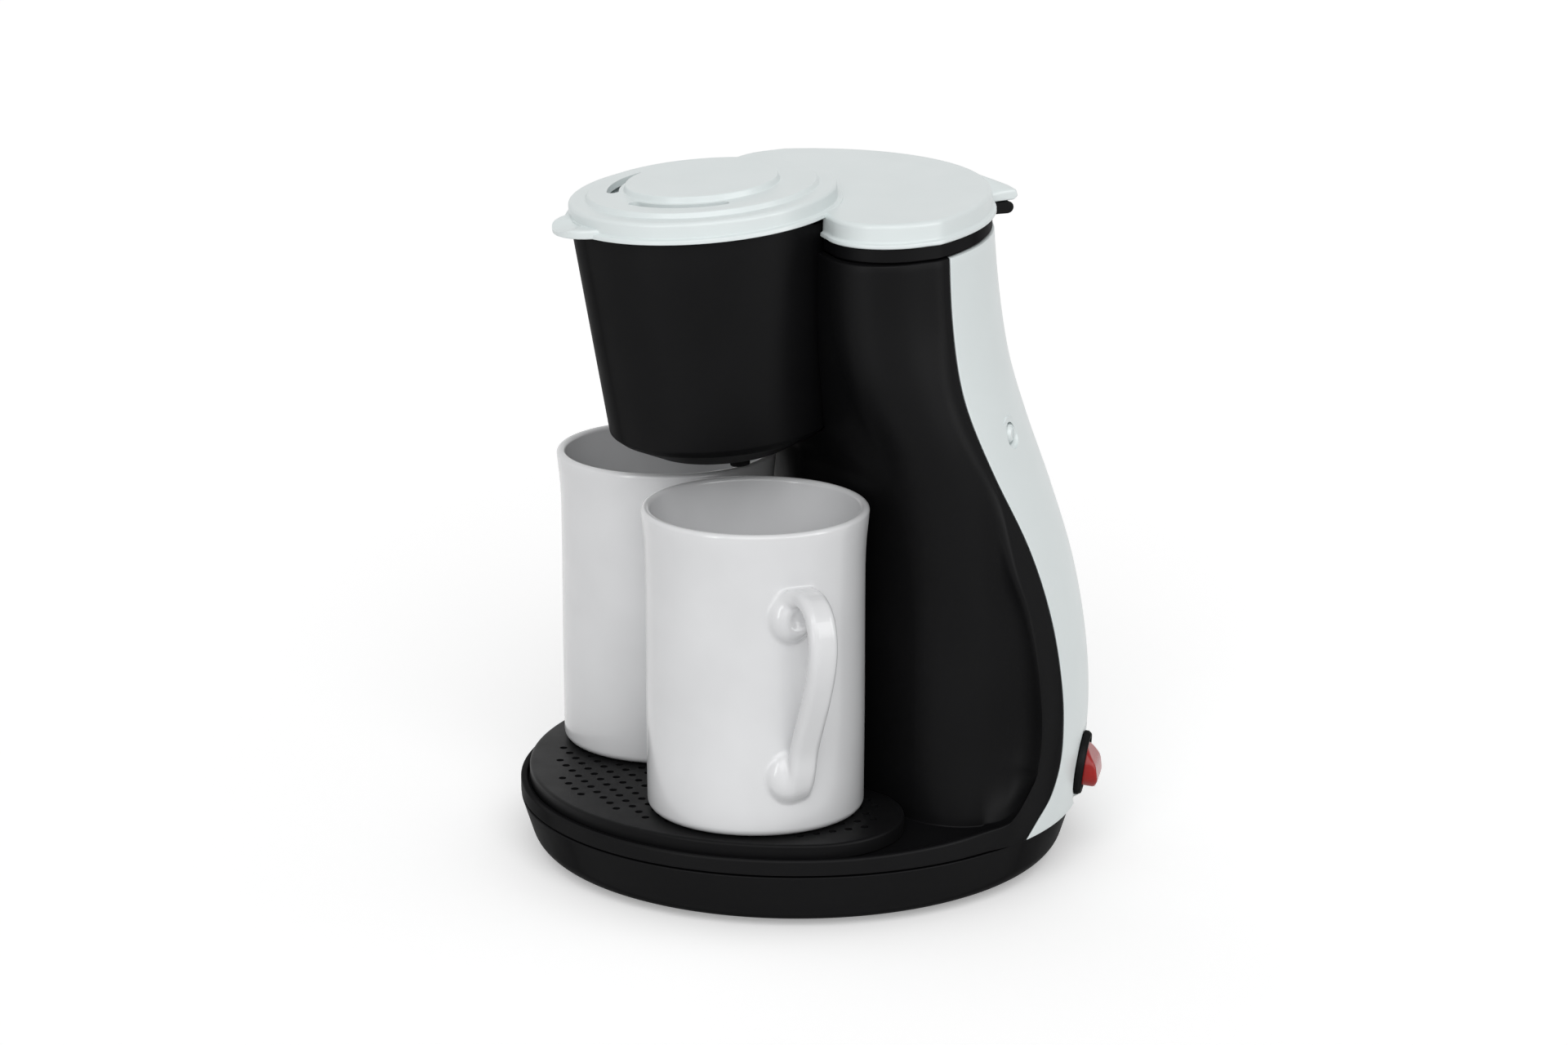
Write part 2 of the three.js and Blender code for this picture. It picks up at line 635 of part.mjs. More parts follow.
function switchHousing() {
  const flange = revolve([
    [8.2, -14], [8.9, -14], [8.9, -0.7], [SWITCH_RADIUS, -0.7], [SWITCH_RADIUS, 0.1], [9.2, 1],
    [8.2, 1], [8.2, -14],
  ], 20);
  const back = cut(rod(8.5, -14, -12.4, 20), box(-4.3, -3.3, -2.4, 2.4, -20, 0),
    box(3.3, 4.3, -2.4, 2.4, -20, 0));
  const tabs = [-1, 1].map((side) => box(side * 3.8 - 0.5, side * 3.8 + 0.5, -2.4, 2.4, -19, -12));
  return atSwitch(unite(flange, back, ...tabs));
}

part('switch_bezel', switchHousing(), material.black);

function switchRocker() {
  const side = acrossWidth([
    [-6, -4], [0, -6.3], [6, -4], [6.3, 0.9], [5.9, 1.3], [3.5, 1.4], [0, 2], [-4.6, 5.4],
    [-6, 6], [-6.4, 5.4], [-6.4, 0],
  ], -8, 8);
  const round = unite(rod(7, -1.6, 8, 20), rod(6.3, -8, 0, 20));
  return atSwitch(placed(side.intersect(round), 0, 0, ROCKER_DEPTH));
}

part('switch_rocker', switchRocker(), material.red);

const gland = revolve([
  [3.4, -7], [5, -7], [4.9, 0.3], [6.8, 0.3], [6.8, 1.2], [5.2, GLAND_REACH], [3.4, GLAND_REACH],
  [3.4, -7],
], 14);
part('cord_gland', aimed(gland, glandPoint, BACK), material.rubber);

// ---------------------------------------------------------------- water tank, seal and hinge pin

const TANK_INSET = 3.7;
const TANK_WALL = 1.8;
const RISER = new THREE.Vector2(0, 22);
const OUTLET = new THREE.Vector2(20, 32);
const SUMP_FLOOR = 125;
const PIN_RADIUS = 0.8;

function tankVessel(inset, step, floor) {
  const column = towerSolid(inset, 110, 206, 5).intersect(bellSolid(inset, 105, 208, 5))
    .subtract(bucketCone(inset, inset > TANK_INSET ? 24 : BUCKET_SEGMENTS));
  const wide = column.intersect(box(-90, 90, -40, 90, step, 220));
  const half = 37 - inset;
  return unite(wide, column.intersect(box(-half, half, -40, 90, floor, 220)));
}

function waterTank() {
  const top = -PLATE_HEIGHT - NECK_HEIGHT;
  const neck = (offset, z0, z1) => plated(slab(plateOutline(offset), z0, z1));
  const below = plated(box(-120, 120, -120, 160, -120, top + GAP + 1));
  const vessel = tankVessel(TANK_INSET, TANK_TOP_STEP, SUMP_FLOOR).intersect(below);
  const collar = unite(
    neck(0, top + GAP, -PLATE_HEIGHT - GAP), neck(-2.3, -PLATE_HEIGHT - 1, -4.7),
  ).subtract(bucketCone(0.9));
  const inside = unite(
    tankVessel(TANK_INSET + TANK_WALL, TANK_TOP_STEP + TANK_WALL, SUMP_FLOOR + TANK_WALL),
    neck(-TANK_INSET - TANK_WALL, top - 1, 2).subtract(bucketCone(2.9, 24)),
  );
  let tank = cut(unite(vessel, collar), inside, box(-30, 30, -30, 16, 196.4, 230));
  const chimney = placed(rod(6.4, SUMP_FLOOR, 190, 12), RISER.x, RISER.y, 0);
  const chimneyBore = placed(rod(4.8, SUMP_FLOOR - 5, 200, 10), RISER.x, RISER.y, 0);
  const spigot = placed(rod(3.4, SUMP_FLOOR - 9, SUMP_FLOOR + 1, 10), OUTLET.x, OUTLET.y, 0);
  const spigotBore = placed(rod(2, SUMP_FLOOR - 12, SUMP_FLOOR + 4, 8), OUTLET.x, OUTLET.y, 0);
  tank = cut(unite(tank, chimney, spigot), chimneyBore, spigotBore);
  const tonguePlan = slab([
    [-9, 54], [9, 54], [9, 58.5], [5.8, 62], [5.6, HINGE_Y], [-5.6, HINGE_Y], [-5.8, 62], [-9, 58.5],
  ], 185, 205);
  const blade = acrossWidth([
    [54, 195.2], [58.8, 195.2], [58.9, 193.2], [HINGE_Y, 193.1], [HINGE_Y, LUG_FLOOR - GAP],
    [57.3, LUG_FLOOR - GAP], [57, 198], [54, 198],
  ], -20, 20).intersect(tonguePlan);
  const eyes = aimed(rod(1.8, -5.6, 5.6, 12), new THREE.Vector3(0, HINGE_Y, HINGE_Z),
    new THREE.Vector3(1, 0, 0));
  const slot = box(-2.6, 2.6, HINGE_Y - 3.4, HINGE_Y + 5, 185, 205);
  const pinHole = aimed(rod(PIN_RADIUS + GAP + 0.05, -9, 9, 8), new THREE.Vector3(0, HINGE_Y, HINGE_Z),
    new THREE.Vector3(1, 0, 0));
  const tongue = cut(unite(blade, eyes), slot, pinHole).subtract(inside);
  return unite(tank, tongue);
}

part('water_tank', waterTank(), material.black);

const sealStrip = cut(
  plated(cut(slab(plateOutline(-2.3), -4.4, -2.3), slab(plateOutline(-4.4), -6, 0))),
  bucketCone(2.2), box(-46, 46, -60, 4, 190, 220),
);
part('tank_seal', sealStrip, material.silicone);

const hingePin = revolve([
  [0, -6.2], [1.5, -6.2], [1.5, -5.9], [PIN_RADIUS, -5.9], [PIN_RADIUS, 5.9], [0, 5.9],
], 8);
part('hinge_pin', aimed(hingePin, new THREE.Vector3(0, HINGE_Y, HINGE_Z), new THREE.Vector3(1, 0, 0)),
  material.steel);

// ---------------------------------------------------------------- lid

function steamSlot(side) {
  const outer = arcPoints(0, 0, 28.2, 0, 62, 6);
  const inner = arcPoints(0, 0, 24.6, 62, 0, 6);
  const turn = side > 0 ? -70 : -172;
  const slot = slab([...outer, ...inner], -8, 3);
  return transformed(slot, new THREE.Matrix4().makeRotationZ(THREE.MathUtils.degToRad(turn)));
}

function lidSolid() {
  const drum = revolve([
    [0, -9.7], [41.5, -9.7], [41.3, -8.5], [39.9, -8.3], [39.9, -5.2], [38.6, -3.5],
    [34.8, -3.5], [34, -1.9], [23.2, -1.9], [22.6, 0], [0, 0],
  ], 38);
  const tab = placed(rod(13.5, -9.7, -7, 20), 0, -33.5, 0);
  const dish = new THREE.SphereGeometry(26, 20, 14);
  dish.translate(0, -47, 17.6);
  const front = cut(unite(drum, tab), toSolid(dish).subtract(rod(40.4, -12, 8, 44)));
  const drumInside = revolve([
    [0, -16], [38.2, -16], [38.2, -5.6], [36.8, -5.5], [33.4, -3.9], [0, -3.9],
  ], 30);
  const plug = cut(rod(36.8, -13.5, -5, 30), rod(35.3, -14, 0, 30));
  const bucketWay = leaning(revolve([[0, -40], [37.5, -40], [40.1, -9.75], [0, -9.75]], 44));
  const plate = plated(unite(
    slab(plateOutline(0), -PLATE_HEIGHT, 0), slab(plateOutline(1.3), -PLATE_HEIGHT, -5.8),
  )).subtract(bucketWay);
  const plateInside = plated(slab(plateOutline(-1.6), -30, -2));
  const lugSide = acrossWidth([
    [54, 206], [58.6, 206.2], [66, 202.6], [71.2, 199.8], [71.2, 198], [70.2, LUG_FLOOR],
    [58.2, LUG_FLOOR], [58.2, 199.3], [54, 203.3],
  ], -30, 30);
  const lugPlan = slab([
    [9.5, 54], [9.2, 57.5], [6.1, 61.5], [5.3, 66], [4.9, 70.2], [3.6, 71.4], [-3.6, 71.4],
    [-4.9, 70.2], [-5.3, 66], [-6.1, 61.5], [-9.2, 57.5], [-9.5, 54],
  ].reverse(), 190, 215);
  const knuckle = unite(
    aimed(rod(1.8, -2.2, 2.2, 12), new THREE.Vector3(0, HINGE_Y, HINGE_Z), new THREE.Vector3(1, 0, 0)),
    box(-2.2, 2.2, HINGE_Y - 1.2, HINGE_Y + 1.2, HINGE_Z + 0.5, LUG_FLOOR + 0.4),
  );
  const pinHole = aimed(rod(PIN_RADIUS + GAP + 0.05, -9, 9, 8), new THREE.Vector3(0, HINGE_Y, HINGE_Z),
    new THREE.Vector3(1, 0, 0));
  const outside = unite(leaning(front), plate);
  const skin = cut(outside, leaning(drumInside), plateInside, leaning(steamSlot(1)),
    leaning(steamSlot(-1)));
  const ring = leaning(plug).subtract(box(-60, 60, -10, 40, 180, 230));
  const lug = lugSide.intersect(lugPlan);
  const outsideLug = lug.subtract(plateInside);
  return cut(unite(skin, ring, outsideLug, knuckle), pinHole);
}

part('lid', lidSolid(), material.white);

// ---------------------------------------------------------------- water route

const SPOUT_Z = 199.4;
const spoutRoute = [
  [RISER.x, RISER.y, 184], [RISER.x, RISER.y, 190], [RISER.x, RISER.y - 0.5, 195.5],
  [RISER.x, RISER.y - 3.5, 198.8], [RISER.x, 14, SPOUT_Z], [0, 4, SPOUT_Z], [0, -6, SPOUT_Z],
  [0, -9.5, SPOUT_Z - 0.8], [0, -10.6, SPOUT_Z - 3],
];
part('water_spout', hose(spoutRoute, 2, 1.2, 11), material.nylon);

const BOILER_Z = 34;
const BOILER_HALF = 22;
const boilerRoute = [
  [BOILER_HALF, 62, BOILER_Z], [BOILER_HALF, 48, BOILER_Z], [BOILER_HALF, 38, BOILER_Z],
  [15.5, 22.5, BOILER_Z], [0, 16, BOILER_Z], [-15.5, 22.5, BOILER_Z], [-BOILER_HALF, 38, BOILER_Z],
  [-BOILER_HALF, 48, BOILER_Z], [-BOILER_HALF, 62, BOILER_Z],
];
part('boiler', hose(boilerRoute, 6, 3, 13), material.aluminium);

const riserHose = hose([
  [-BOILER_HALF, 62.4, BOILER_Z], [-BOILER_HALF, 67, BOILER_Z], [-BOILER_HALF, 71, 40],
  [-18, 66, 60], [-9, 48, 86], [-1, 27, 104], [RISER.x, RISER.y, 115], [RISER.x, RISER.y, 122],
  [RISER.x, RISER.y, 150], [RISER.x, RISER.y, 189],
], 4.3, 2.9, 15);
part('riser_hose', riserHose, material.silicone);

const inletHose = hose([
  [BOILER_HALF, 62.4, BOILER_Z], [BOILER_HALF, 67, BOILER_Z], [BOILER_HALF, 69, 42],
  [BOILER_HALF, 60, 62], [OUTLET.x, 42, 82], [OUTLET.x, OUTLET.y, 94], [OUTLET.x, OUTLET.y, 97.5],
], 4.3, 2.9, 12);
part('inlet_hose', inletHose, material.silicone);

const valve = revolve([
  [2, 97.8], [5.4, 97.8], [6.6, 101.5], [6.6, 110], [5.4, 111.5], [5.4, 121.5],
  [3.8, 121.5], [3.8, 112], [2, 112], [2, 97.8],
], 12);
part('check_valve', placed(valve, OUTLET.x, OUTLET.y, 0), material.silicone);

// ---------------------------------------------------------------- heater fittings

const BRACKET_Z = 20.3;
function heaterBracket() {
  const strap = box(-HEATER_POST_X - 5, HEATER_POST_X + 5, HEATER_POST_Y - 5, HEATER_POST_Y + 5,
    BRACKET_Z, BRACKET_Z + 1.2);
  const cradles = [-1, 1].map((side) => box(
    side * BOILER_HALF - 5, side * BOILER_HALF + 5, HEATER_POST_Y - 5, HEATER_POST_Y + 5,
    BRACKET_Z, BOILER_Z - 2,
  ));
  const seats = [-1, 1].map((side) => aimed(rod(6.3, -10, 10, 20),
    new THREE.Vector3(side * BOILER_HALF, HEATER_POST_Y, BOILER_Z), BACK));
  const holes = [-1, 1].map((side) => placed(rod(1.7, 15, 25, 8), side * HEATER_POST_X,
    HEATER_POST_Y, 0));
  const hollow = [-1, 1].map((side) => box(
    side * BOILER_HALF - 3.8, side * BOILER_HALF + 3.8, HEATER_POST_Y - 6, HEATER_POST_Y + 6,
    BRACKET_Z - 1, BOILER_Z - 7.5,
  ));
  return cut(unite(strap, ...cradles), ...seats, ...holes, ...hollow);
}
part('heater_bracket', heaterBracket(), material.steel);

for (const [side, word] of [[1, 'right'], [-1, 'left']]) {
  const screw = transformed(panHeadScrew(1.4, 7), new THREE.Matrix4().makeRotationX(Math.PI));
  part(`heater_screw_${word}`,
    placed(screw, side * HEATER_POST_X, HEATER_POST_Y, BRACKET_Z + 1.5), material.steel);
}

const thermostat = unite(
  revolve([[0, 0], [8, 0], [8, 6], [0, 6]], 16),
  box(-8, -6, -2, 2, 4, 9), box(6, 8, -2, 2, 4, 9),
);
part('thermostat', placed(thermostat, 0, 17, BOILER_Z + 6.3), material.phenolic);

[1, -1].forEach((side, i) => {
  const fuse = revolve([[0, -9], [0.6, -9], [0.6, -6], [1.9, -5.4], [1.9, 5.4], [0.6, 6], [0.6, 9],
    [0, 9]], 8);
  const lie = new THREE.Vector3(side * BOILER_HALF, 46, BOILER_Z + 8.3);
  part(`thermal_fuse_${i + 1}`, aimed(fuse, lie, BACK), material.steel);
});

function terminalBlock() {
  let block = box(-12.4, 12.4, 63.5, 72.5, 5.5, 14);
  for (const x of [-8, 0, 8]) {
    block = cut(block, box(x - 2.6, x + 2.6, 60, 66, 8, 12), placed(rod(1.8, 9, 20, 8), x, 68, 0));
  }
  return cut(block, box(-4.6, -3.4, 62, 74, 12, 15), box(3.4, 4.6, 62, 74, 12, 15));
}
part('terminal_block', terminalBlock(), material.nylon);

// ---------------------------------------------------------------- cup grid

function cupGrid() {
  const plate = unite(slab(trayOutline(0), DECK_FLOOR + GAP, TRAY_TOP - 0.6),
    slab(trayOutline(0.6), TRAY_TOP - 1, TRAY_TOP));
  const under = slab(trayOutline(1.8), 20, TRAY_TOP - 1.8);
  let grid = cut(plate, under);
  const ribs = unite(...[-2, -1, 0, 1, 2].map((i) => box(i * 24 - 0.7, i * 24 + 0.7, -90, 12,
    TRAY_TOP - 4, TRAY_TOP - 1.6)));
  grid = grid.add(ribs.intersect(slab(trayOutline(1), 20, TRAY_TOP - 1)));
  return grid;
}
part('cup_grid', cupGrid(), material.black);

// ---------------------------------------------------------------- mugs

function mug(side) {
  const wall = revolve([
    [0, 1.2], [26.4, 1.2], [27.6, 0], [30, 0], [31.6, 1.4], [MUG_RADIUS, 4.5], [MUG_RADIUS, 78],
    [MUG_RIM_RADIUS, 91], [32.6, MUG_HEIGHT], [31.1, 91.4], [29.6, 78], [29.4, 11], [26.4, 5.8],
    [0, 5],
  ], 30);
  const strap = sweep([
    [31, 0, 11], [34.5, 0, 15], [36, 0, 27], [40, 0, 36], [45, 0, 46], [49, 0, 56], [49.8, 0, 64],
    [47, 0, 71.5], [41, 0, 74.6], [35, 0, 72], [31, 0, 68],
  ], 4.2, 2.8, 17, 8);
  const curl = sweep([
    [42, 0, 73], [46.2, 0, 70], [46.3, 0, 65], [43, 0, 61.6], [38.6, 0, 61], [34.5, 0, 63.5],
    [31, 0, 66],
  ], 4, 2, 8, 8);
  const foot = new THREE.SphereGeometry(1, 10, 6);
  foot.scale(4.6, 7.8, 9);
  foot.translate(31.8, 0, 18);
  const bore = rod(31, 4, 100, 32);
  const handle = unite(strap, curl, toSolid(foot)).subtract(bore);
  const whole = unite(wall, handle);
  const turn = new THREE.Matrix4().makeRotationZ(side > 0 ? 0 : Math.PI);
  return placed(transformed(whole, turn), side * MUG_SPREAD, MUG_Y, MUG_BASE);
}

part('mug_right', mug(1), material.ceramic);
part('mug_left', mug(-1), material.ceramic);

export default machine;
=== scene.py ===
"""Drip coffee maker with two mugs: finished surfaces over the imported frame.

Shapes are worked out in millimetres about the deck's centre, with the front facing -Y,
and are placed in the frame's metres at the end.
"""

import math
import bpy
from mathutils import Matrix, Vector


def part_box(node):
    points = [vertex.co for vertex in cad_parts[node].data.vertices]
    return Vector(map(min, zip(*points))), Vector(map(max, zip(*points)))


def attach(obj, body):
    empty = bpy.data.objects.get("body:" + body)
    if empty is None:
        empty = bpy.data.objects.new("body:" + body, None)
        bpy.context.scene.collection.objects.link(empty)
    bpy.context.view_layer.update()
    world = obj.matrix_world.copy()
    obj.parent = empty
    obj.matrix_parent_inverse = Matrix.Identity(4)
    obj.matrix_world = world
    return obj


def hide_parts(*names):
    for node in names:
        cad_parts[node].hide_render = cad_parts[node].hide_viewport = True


bl_info = {
    "name": "Drip Coffee Maker",
    "version": (1, 0, 0),
    "blender": (4, 5, 0),
    "location": "3D View > Sidebar > Coffee Maker",
    "description": "Builds the finished surfaces of a drip coffee maker with two mugs",
    "category": "Add Mesh",
}

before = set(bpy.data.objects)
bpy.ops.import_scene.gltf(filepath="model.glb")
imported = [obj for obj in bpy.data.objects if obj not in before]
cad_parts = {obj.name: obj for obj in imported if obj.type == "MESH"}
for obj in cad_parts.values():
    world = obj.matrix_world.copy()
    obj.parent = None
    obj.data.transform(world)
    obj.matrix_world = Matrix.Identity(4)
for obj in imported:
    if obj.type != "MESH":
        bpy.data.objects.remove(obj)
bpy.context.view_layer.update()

import bmesh
import bpy
import numpy as np
from bpy.props import FloatProperty, FloatVectorProperty, IntProperty, PointerProperty
from mathutils import Matrix, Vector

MM = 0.001
PAN_LOW, PAN_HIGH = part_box("base_pan")
DECK_CENTRE_Y = (PAN_LOW[1] + PAN_HIGH[1]) / 2 / MM  # the deck's axis, in the frame

# ------------------------------------------------------------------ numbers and curves


def fair_curve(knots):
    """A smooth curve through (position, value) pairs, as a function of arrays."""
    at, value = np.array(knots, float).T
    slope = np.empty_like(at)
    slope[1:-1] = (value[2:] - value[:-2]) / (at[2:] - at[:-2])
    slope[0] = (value[1] - value[0]) / (at[1] - at[0])
    slope[-1] = (value[-1] - value[-2]) / (at[-1] - at[-2])

    def curve(z):
        z = np.clip(z, at[0], at[-1])
        i = np.clip(np.searchsorted(at, z) - 1, 0, len(at) - 2)
        h = at[i + 1] - at[i]
        t = (z - at[i]) / h
        ease = t * t * (3 - 2 * t)
        return (
            value[i] * (1 - ease)
            + value[i + 1] * ease
            + slope[i] * h * t * (1 - t) ** 2
            - slope[i + 1] * h * t * t * (1 - t)
        )

    return curve


def smooth_min(a, b, reach):
    """The lesser of two distances, with the corner between them filled over a reach."""
    mix = np.clip(0.5 + 0.5 * (b - a) / reach, 0, 1)
    return b * (1 - mix) + a * mix - reach * mix * (1 - mix)


def smooth_max(a, b, reach):
    """The greater of two distances, with the corner between them rounded over a reach."""
    return -smooth_min(-a, -b, reach)


def ease(low, high, value):
    """Rises smoothly from 0 at low to 1 at high."""
    t = np.clip((value - low) / (high - low), 0, 1)
    return t * t * (3 - 2 * t)


def arc(centre, radius, start, stop, count):
    """Points on an arc in degrees, both ends included."""
    angle = np.radians(np.linspace(start, stop, count))
    return np.stack([centre[0] + radius * np.cos(angle), centre[1] + radius * np.sin(angle)], 1)


def rounded_path(corners, steps=5):
    """Turns (a, b, fillet) corners into a path whose corners are arcs."""
    path = []
    for i, (a, b, fillet) in enumerate(corners):
        here = np.array([a, b], float)
        if fillet <= 0 or i in (0, len(corners) - 1):
            path.append(here)
            continue
        before = np.array(corners[i - 1][:2], float) - here
        after = np.array(corners[i + 1][:2], float) - here
        u, v = before / np.linalg.norm(before), after / np.linalg.norm(after)
        half = math.acos(np.clip(u @ v, -1, 1)) / 2
        if half > math.radians(89):
            path.append(here)
            continue
        run = min(fillet / math.tan(half), 0.48 * np.linalg.norm(before), 0.48 * np.linalg.norm(after))
        radius = run * math.tan(half)
        centre = here + (u + v) / np.linalg.norm(u + v) * radius / math.sin(half)
        first, last = here + u * run - centre, here + v * run - centre
        turn = math.acos(np.clip(first @ last / radius**2, -1, 1))
        for k in range(steps + 1):
            t = k / steps
            path.append(
                centre + (math.sin((1 - t) * turn) * first + math.sin(t * turn) * last) / math.sin(turn)
            )
    return np.array(path)


# ------------------------------------------------------------------ the governing form

# heights are above the table, and depths are towards the rear from the deck's axis
BASE_RADIUS = 85.0
DECK_BOTTOM = 18.1
DECK_TOP = 23.0
DECK_FLOOR = 21.7
SHOULDER = 18.5  # radius of the tower's two front corners
DRUM_CENTRE = np.array([0.0, -30.8, 210.6])  # the lid's drum and the bucket's axis, which lean together
LEAN = math.radians(4.65)
PLATE_PIVOT = np.array([0.0, 40.0, 205.9])  # the lid's rear plate, which slopes on its own
PLATE_TILT = math.radians(2)
PLATE_HEIGHT = 7.1
NECK_HEIGHT = 4.8
SWITCH_TURN = math.radians(32.5)
SWITCH_Z = 30.0
GLAND_Z = 32.0
COVER_SCREW_Z = 137.0
HINGE_Y, HINGE_Z = 66.9, 194.9
LUG_FLOOR = 197.0
HINGE_EYE, HINGE_BORE = 1.8, 1.15
BELL_DRIFT = -6.2
BUCKET_FLOOR = -82.2  # down the bucket's own axis from the lid's drum
BASKET_FLOOR, BASKET_RIM = -70, -22
DRUM_FLOOR = -9.7
TANK_INSET, TANK_STEP, TANK_FLOOR, TANK_WALL = 3.7, 144, 125, 1.8  # the sump lies below the step
TRAY_RADIUS, TRAY_CORNER, TRAY_TURN = 82.2, 29.5, math.radians(20)
TRAY_REAR_Y, TRAY_REAR_RADIUS = 98.6, 98.0
NOZZLE_SPREAD = 13.0
SCREW_PLACES = [(50, -50), (-50, -50), (70.5, 14), (-70.5, 14)]
FOOT_PLACES = [(29, -54.7), (-29, -54.7), (46, 42), (-46, 42)]

# by height: the rear's round bell, the joint between housing and cover, and the housing's rim ahead of it
bell_radius = fair_curve([
    (15, 86), (30, 88.4), (50, 90.2), (70, 89.4), (92, 86), (115, 79.7), (136, 73), (155, 68),
    (176, 65.3), (200, 64),
])
seam_depth = fair_curve([
    (16, 40.5), (23, 47), (29, 53), (38, 56.8), (50, 57.6), (62, 57), (82, 53.8), (105, 46.8),
    (128, 36), (150, 27.8), (172, 24.8), (205, 24),
])
rim_depth = fair_curve([
    (16, 30), (24, 36.4), (31, 42), (38, 45), (50, 46.7), (63, 46.3), (76, 45), (88, 42.6),
    (101, 38.4), (122, 35.6),
])
# by angle round the deck: where its crest climbs into the rim
crest_height = fair_curve([
    (-90, 23), (-15, 23), (6, 23.8), (16, 24.5), (22, 25.1), (24.4, 26.3), (26, 28.1), (27.1, 29.7),
    (28.3, 31.9), (29.8, 35.2), (31.2, 38.8),
])
# by height: the tower's sides, its front corners and its hollow front
side_reach = fair_curve([(18, 65.6), (110, 66), (135, 65.3), (157, 62.4), (176, 59.6), (205, 58)])
shoulder_depth = fair_curve([
    (18, 31.2), (80, 31.2), (104, 30), (120, 27.3), (135, 22.8), (148, 17.8), (160, 14.2),
    (176, 12), (205, 11),
])
front_depth = fair_curve([
    (18, 2), (60, 1.9), (90, 1.8), (123, 1.5), (131, -2.2), (141, -6.2), (205, -6.4),
])
shoulder_start = fair_curve([(18, -66), (90, -66), (130, -84), (205, -96)])


def bell_centre(z):
    """Depth of the rear bell's axis, which drifts forward with height."""
    return BELL_DRIFT * np.clip((z - 18) / 179, 0, 1)


def out_of_x(points, angle, pivot):
    """Takes points out of a frame tilted about X."""
    c, s = math.cos(angle), math.sin(angle)
    x, y, z = np.moveaxis(points, -1, 0)
    return np.stack([x, c * y - s * z, s * y + c * z], -1) + pivot


def leaning(points):
    """Takes points out of the leaning frame that the bucket and the lid's drum share."""
    return out_of_x(np.asarray(points, float), LEAN, DRUM_CENTRE)


def leaning_at(*shift):
    """A placing function that shifts points and then leans them."""
    return lambda points: leaning(points + shift)


def facing(point, outward):
    """A matrix whose +Z looks outward, with +Y upwards, standing at a point."""
    outward = Vector(outward).normalized()
    level = Vector((-outward.y, outward.x, 0)).normalized()
    up = outward.cross(level)
    basis = Matrix((level, up, outward)).transposed().to_4x4()
    return Matrix.Translation(Vector(point)) @ basis


# ------------------------------------------------------------------ mesh making


def new_piece(name, points, faces):
    """A mesh object from millimetre points about the deck's centre."""
    points = np.asarray(points, float) + np.array([0, DECK_CENTRE_Y, 0])
    mesh = bpy.data.meshes.new(name)
    mesh.from_pydata((points * MM).tolist(), [], [tuple(int(i) for i in f) for f in faces])
    mesh.validate()
    mesh.update()
    piece = bpy.data.objects.new(name, mesh)
    bpy.context.scene.collection.objects.link(piece)
    return piece


def ring_solid(rings):
    """Points and faces of a closed solid through stacked rings, with flat ends."""
    rings = np.asarray(rings, float)
    rows, columns = rings.shape[:2]
    index = np.arange(rows * columns).reshape(rows, columns)
    nxt = np.roll(index, -1, axis=1)
    quads = np.stack([index[:-1], nxt[:-1], nxt[1:], index[1:]], -1).reshape(-1, 4)
    return rings.reshape(-1, 3), [tuple(f) for f in (*quads, index[0][::-1], index[-1])]


def turned(profile, segments):
    """Points and faces of a profile of (radius, height) turned about +Z. Ends lie on the axis
    or the profile closes on itself."""
    profile = np.asarray(profile, float)
    angle = np.linspace(0, 2 * math.pi, segments, endpoint=False)
    points, ids = [], []
    for r, h in profile:
        if r < 1e-6:
            ids.append([len(points)] * segments)
            points.append((0, 0, h))
        else:
            ids.append(list(range(len(points), len(points) + segments)))
            points += [(r * math.cos(a), r * math.sin(a), h) for a in angle]
    faces = []
    closed = profile[0][0] > 1e-6
    pairs = list(zip(ids[:-1], ids[1:])) + ([(ids[-1], ids[0])] if closed else [])
    for low, high in pairs:
        for j in range(segments):
            k = (j + 1) % segments
            face = list(dict.fromkeys((low[j], low[k], high[k], high[j])))
            if len(face) > 2:
                faces.append(tuple(face))
    return np.array(points), faces


def right_way_out(piece):
    """Makes every face of a closed mesh point outwards."""
    work = bmesh.new()
    work.from_mesh(piece.data)
    bmesh.ops.remove_doubles(work, verts=work.verts, dist=1e-7)
    bmesh.ops.recalc_face_normals(work, faces=work.faces)
    if work.calc_volume(signed=True) < 0:
        bmesh.ops.reverse_faces(work, faces=work.faces)
    work.to_mesh(piece.data)
    work.free()
    return piece


def solid(name, shape, place=None):
    """A closed piece from points and faces, put in place."""
    points, faces = shape
    return right_way_out(new_piece(name, points if place is None else place(points), faces))


def turned_piece(name, profile, segments, place=None):
    """A closed piece from a profile of (radius, height) points."""
    return solid(name, turned(profile, segments), place)


def lathed(name, corners, segments, place=None, steps=5):
    """A turned piece from (radius, height, fillet) corners."""
    return turned_piece(name, rounded_path(corners, steps), segments, place)


def moved(matrix):
    """A placing function from a matrix."""
    turn = np.array(matrix)
    return lambda points: points @ turn[:3, :3].T + turn[:3, 3]


def standing_at(x, y):
    """A placing function that moves points level."""
    return lambda points: points + [x, y, 0]


def at_height(outline, z):
    """An outline in X and Y as points at a height."""
    return np.column_stack([outline, np.full(len(outline), z)])


def layered(name, outline, layers, place=None):
    """A solid through (offset, height) layers of an outline that depends on an offset."""
    return solid(name, ring_solid([at_height(outline(offset), z) for offset, z in layers]), place)


def prism(name, outline, low, high, place=None):
    """An outline in X and Y raised from low to high."""
    return layered(name, lambda offset: outline, [(0, low), (0, high)], place)


def block(name, low, high, place=None):
    (x0, y0, z0), (x1, y1, z1) = low, high
    return prism(name, [(x0, y0), (x1, y0), (x1, y1), (x0, y1)], z0, z1, place)


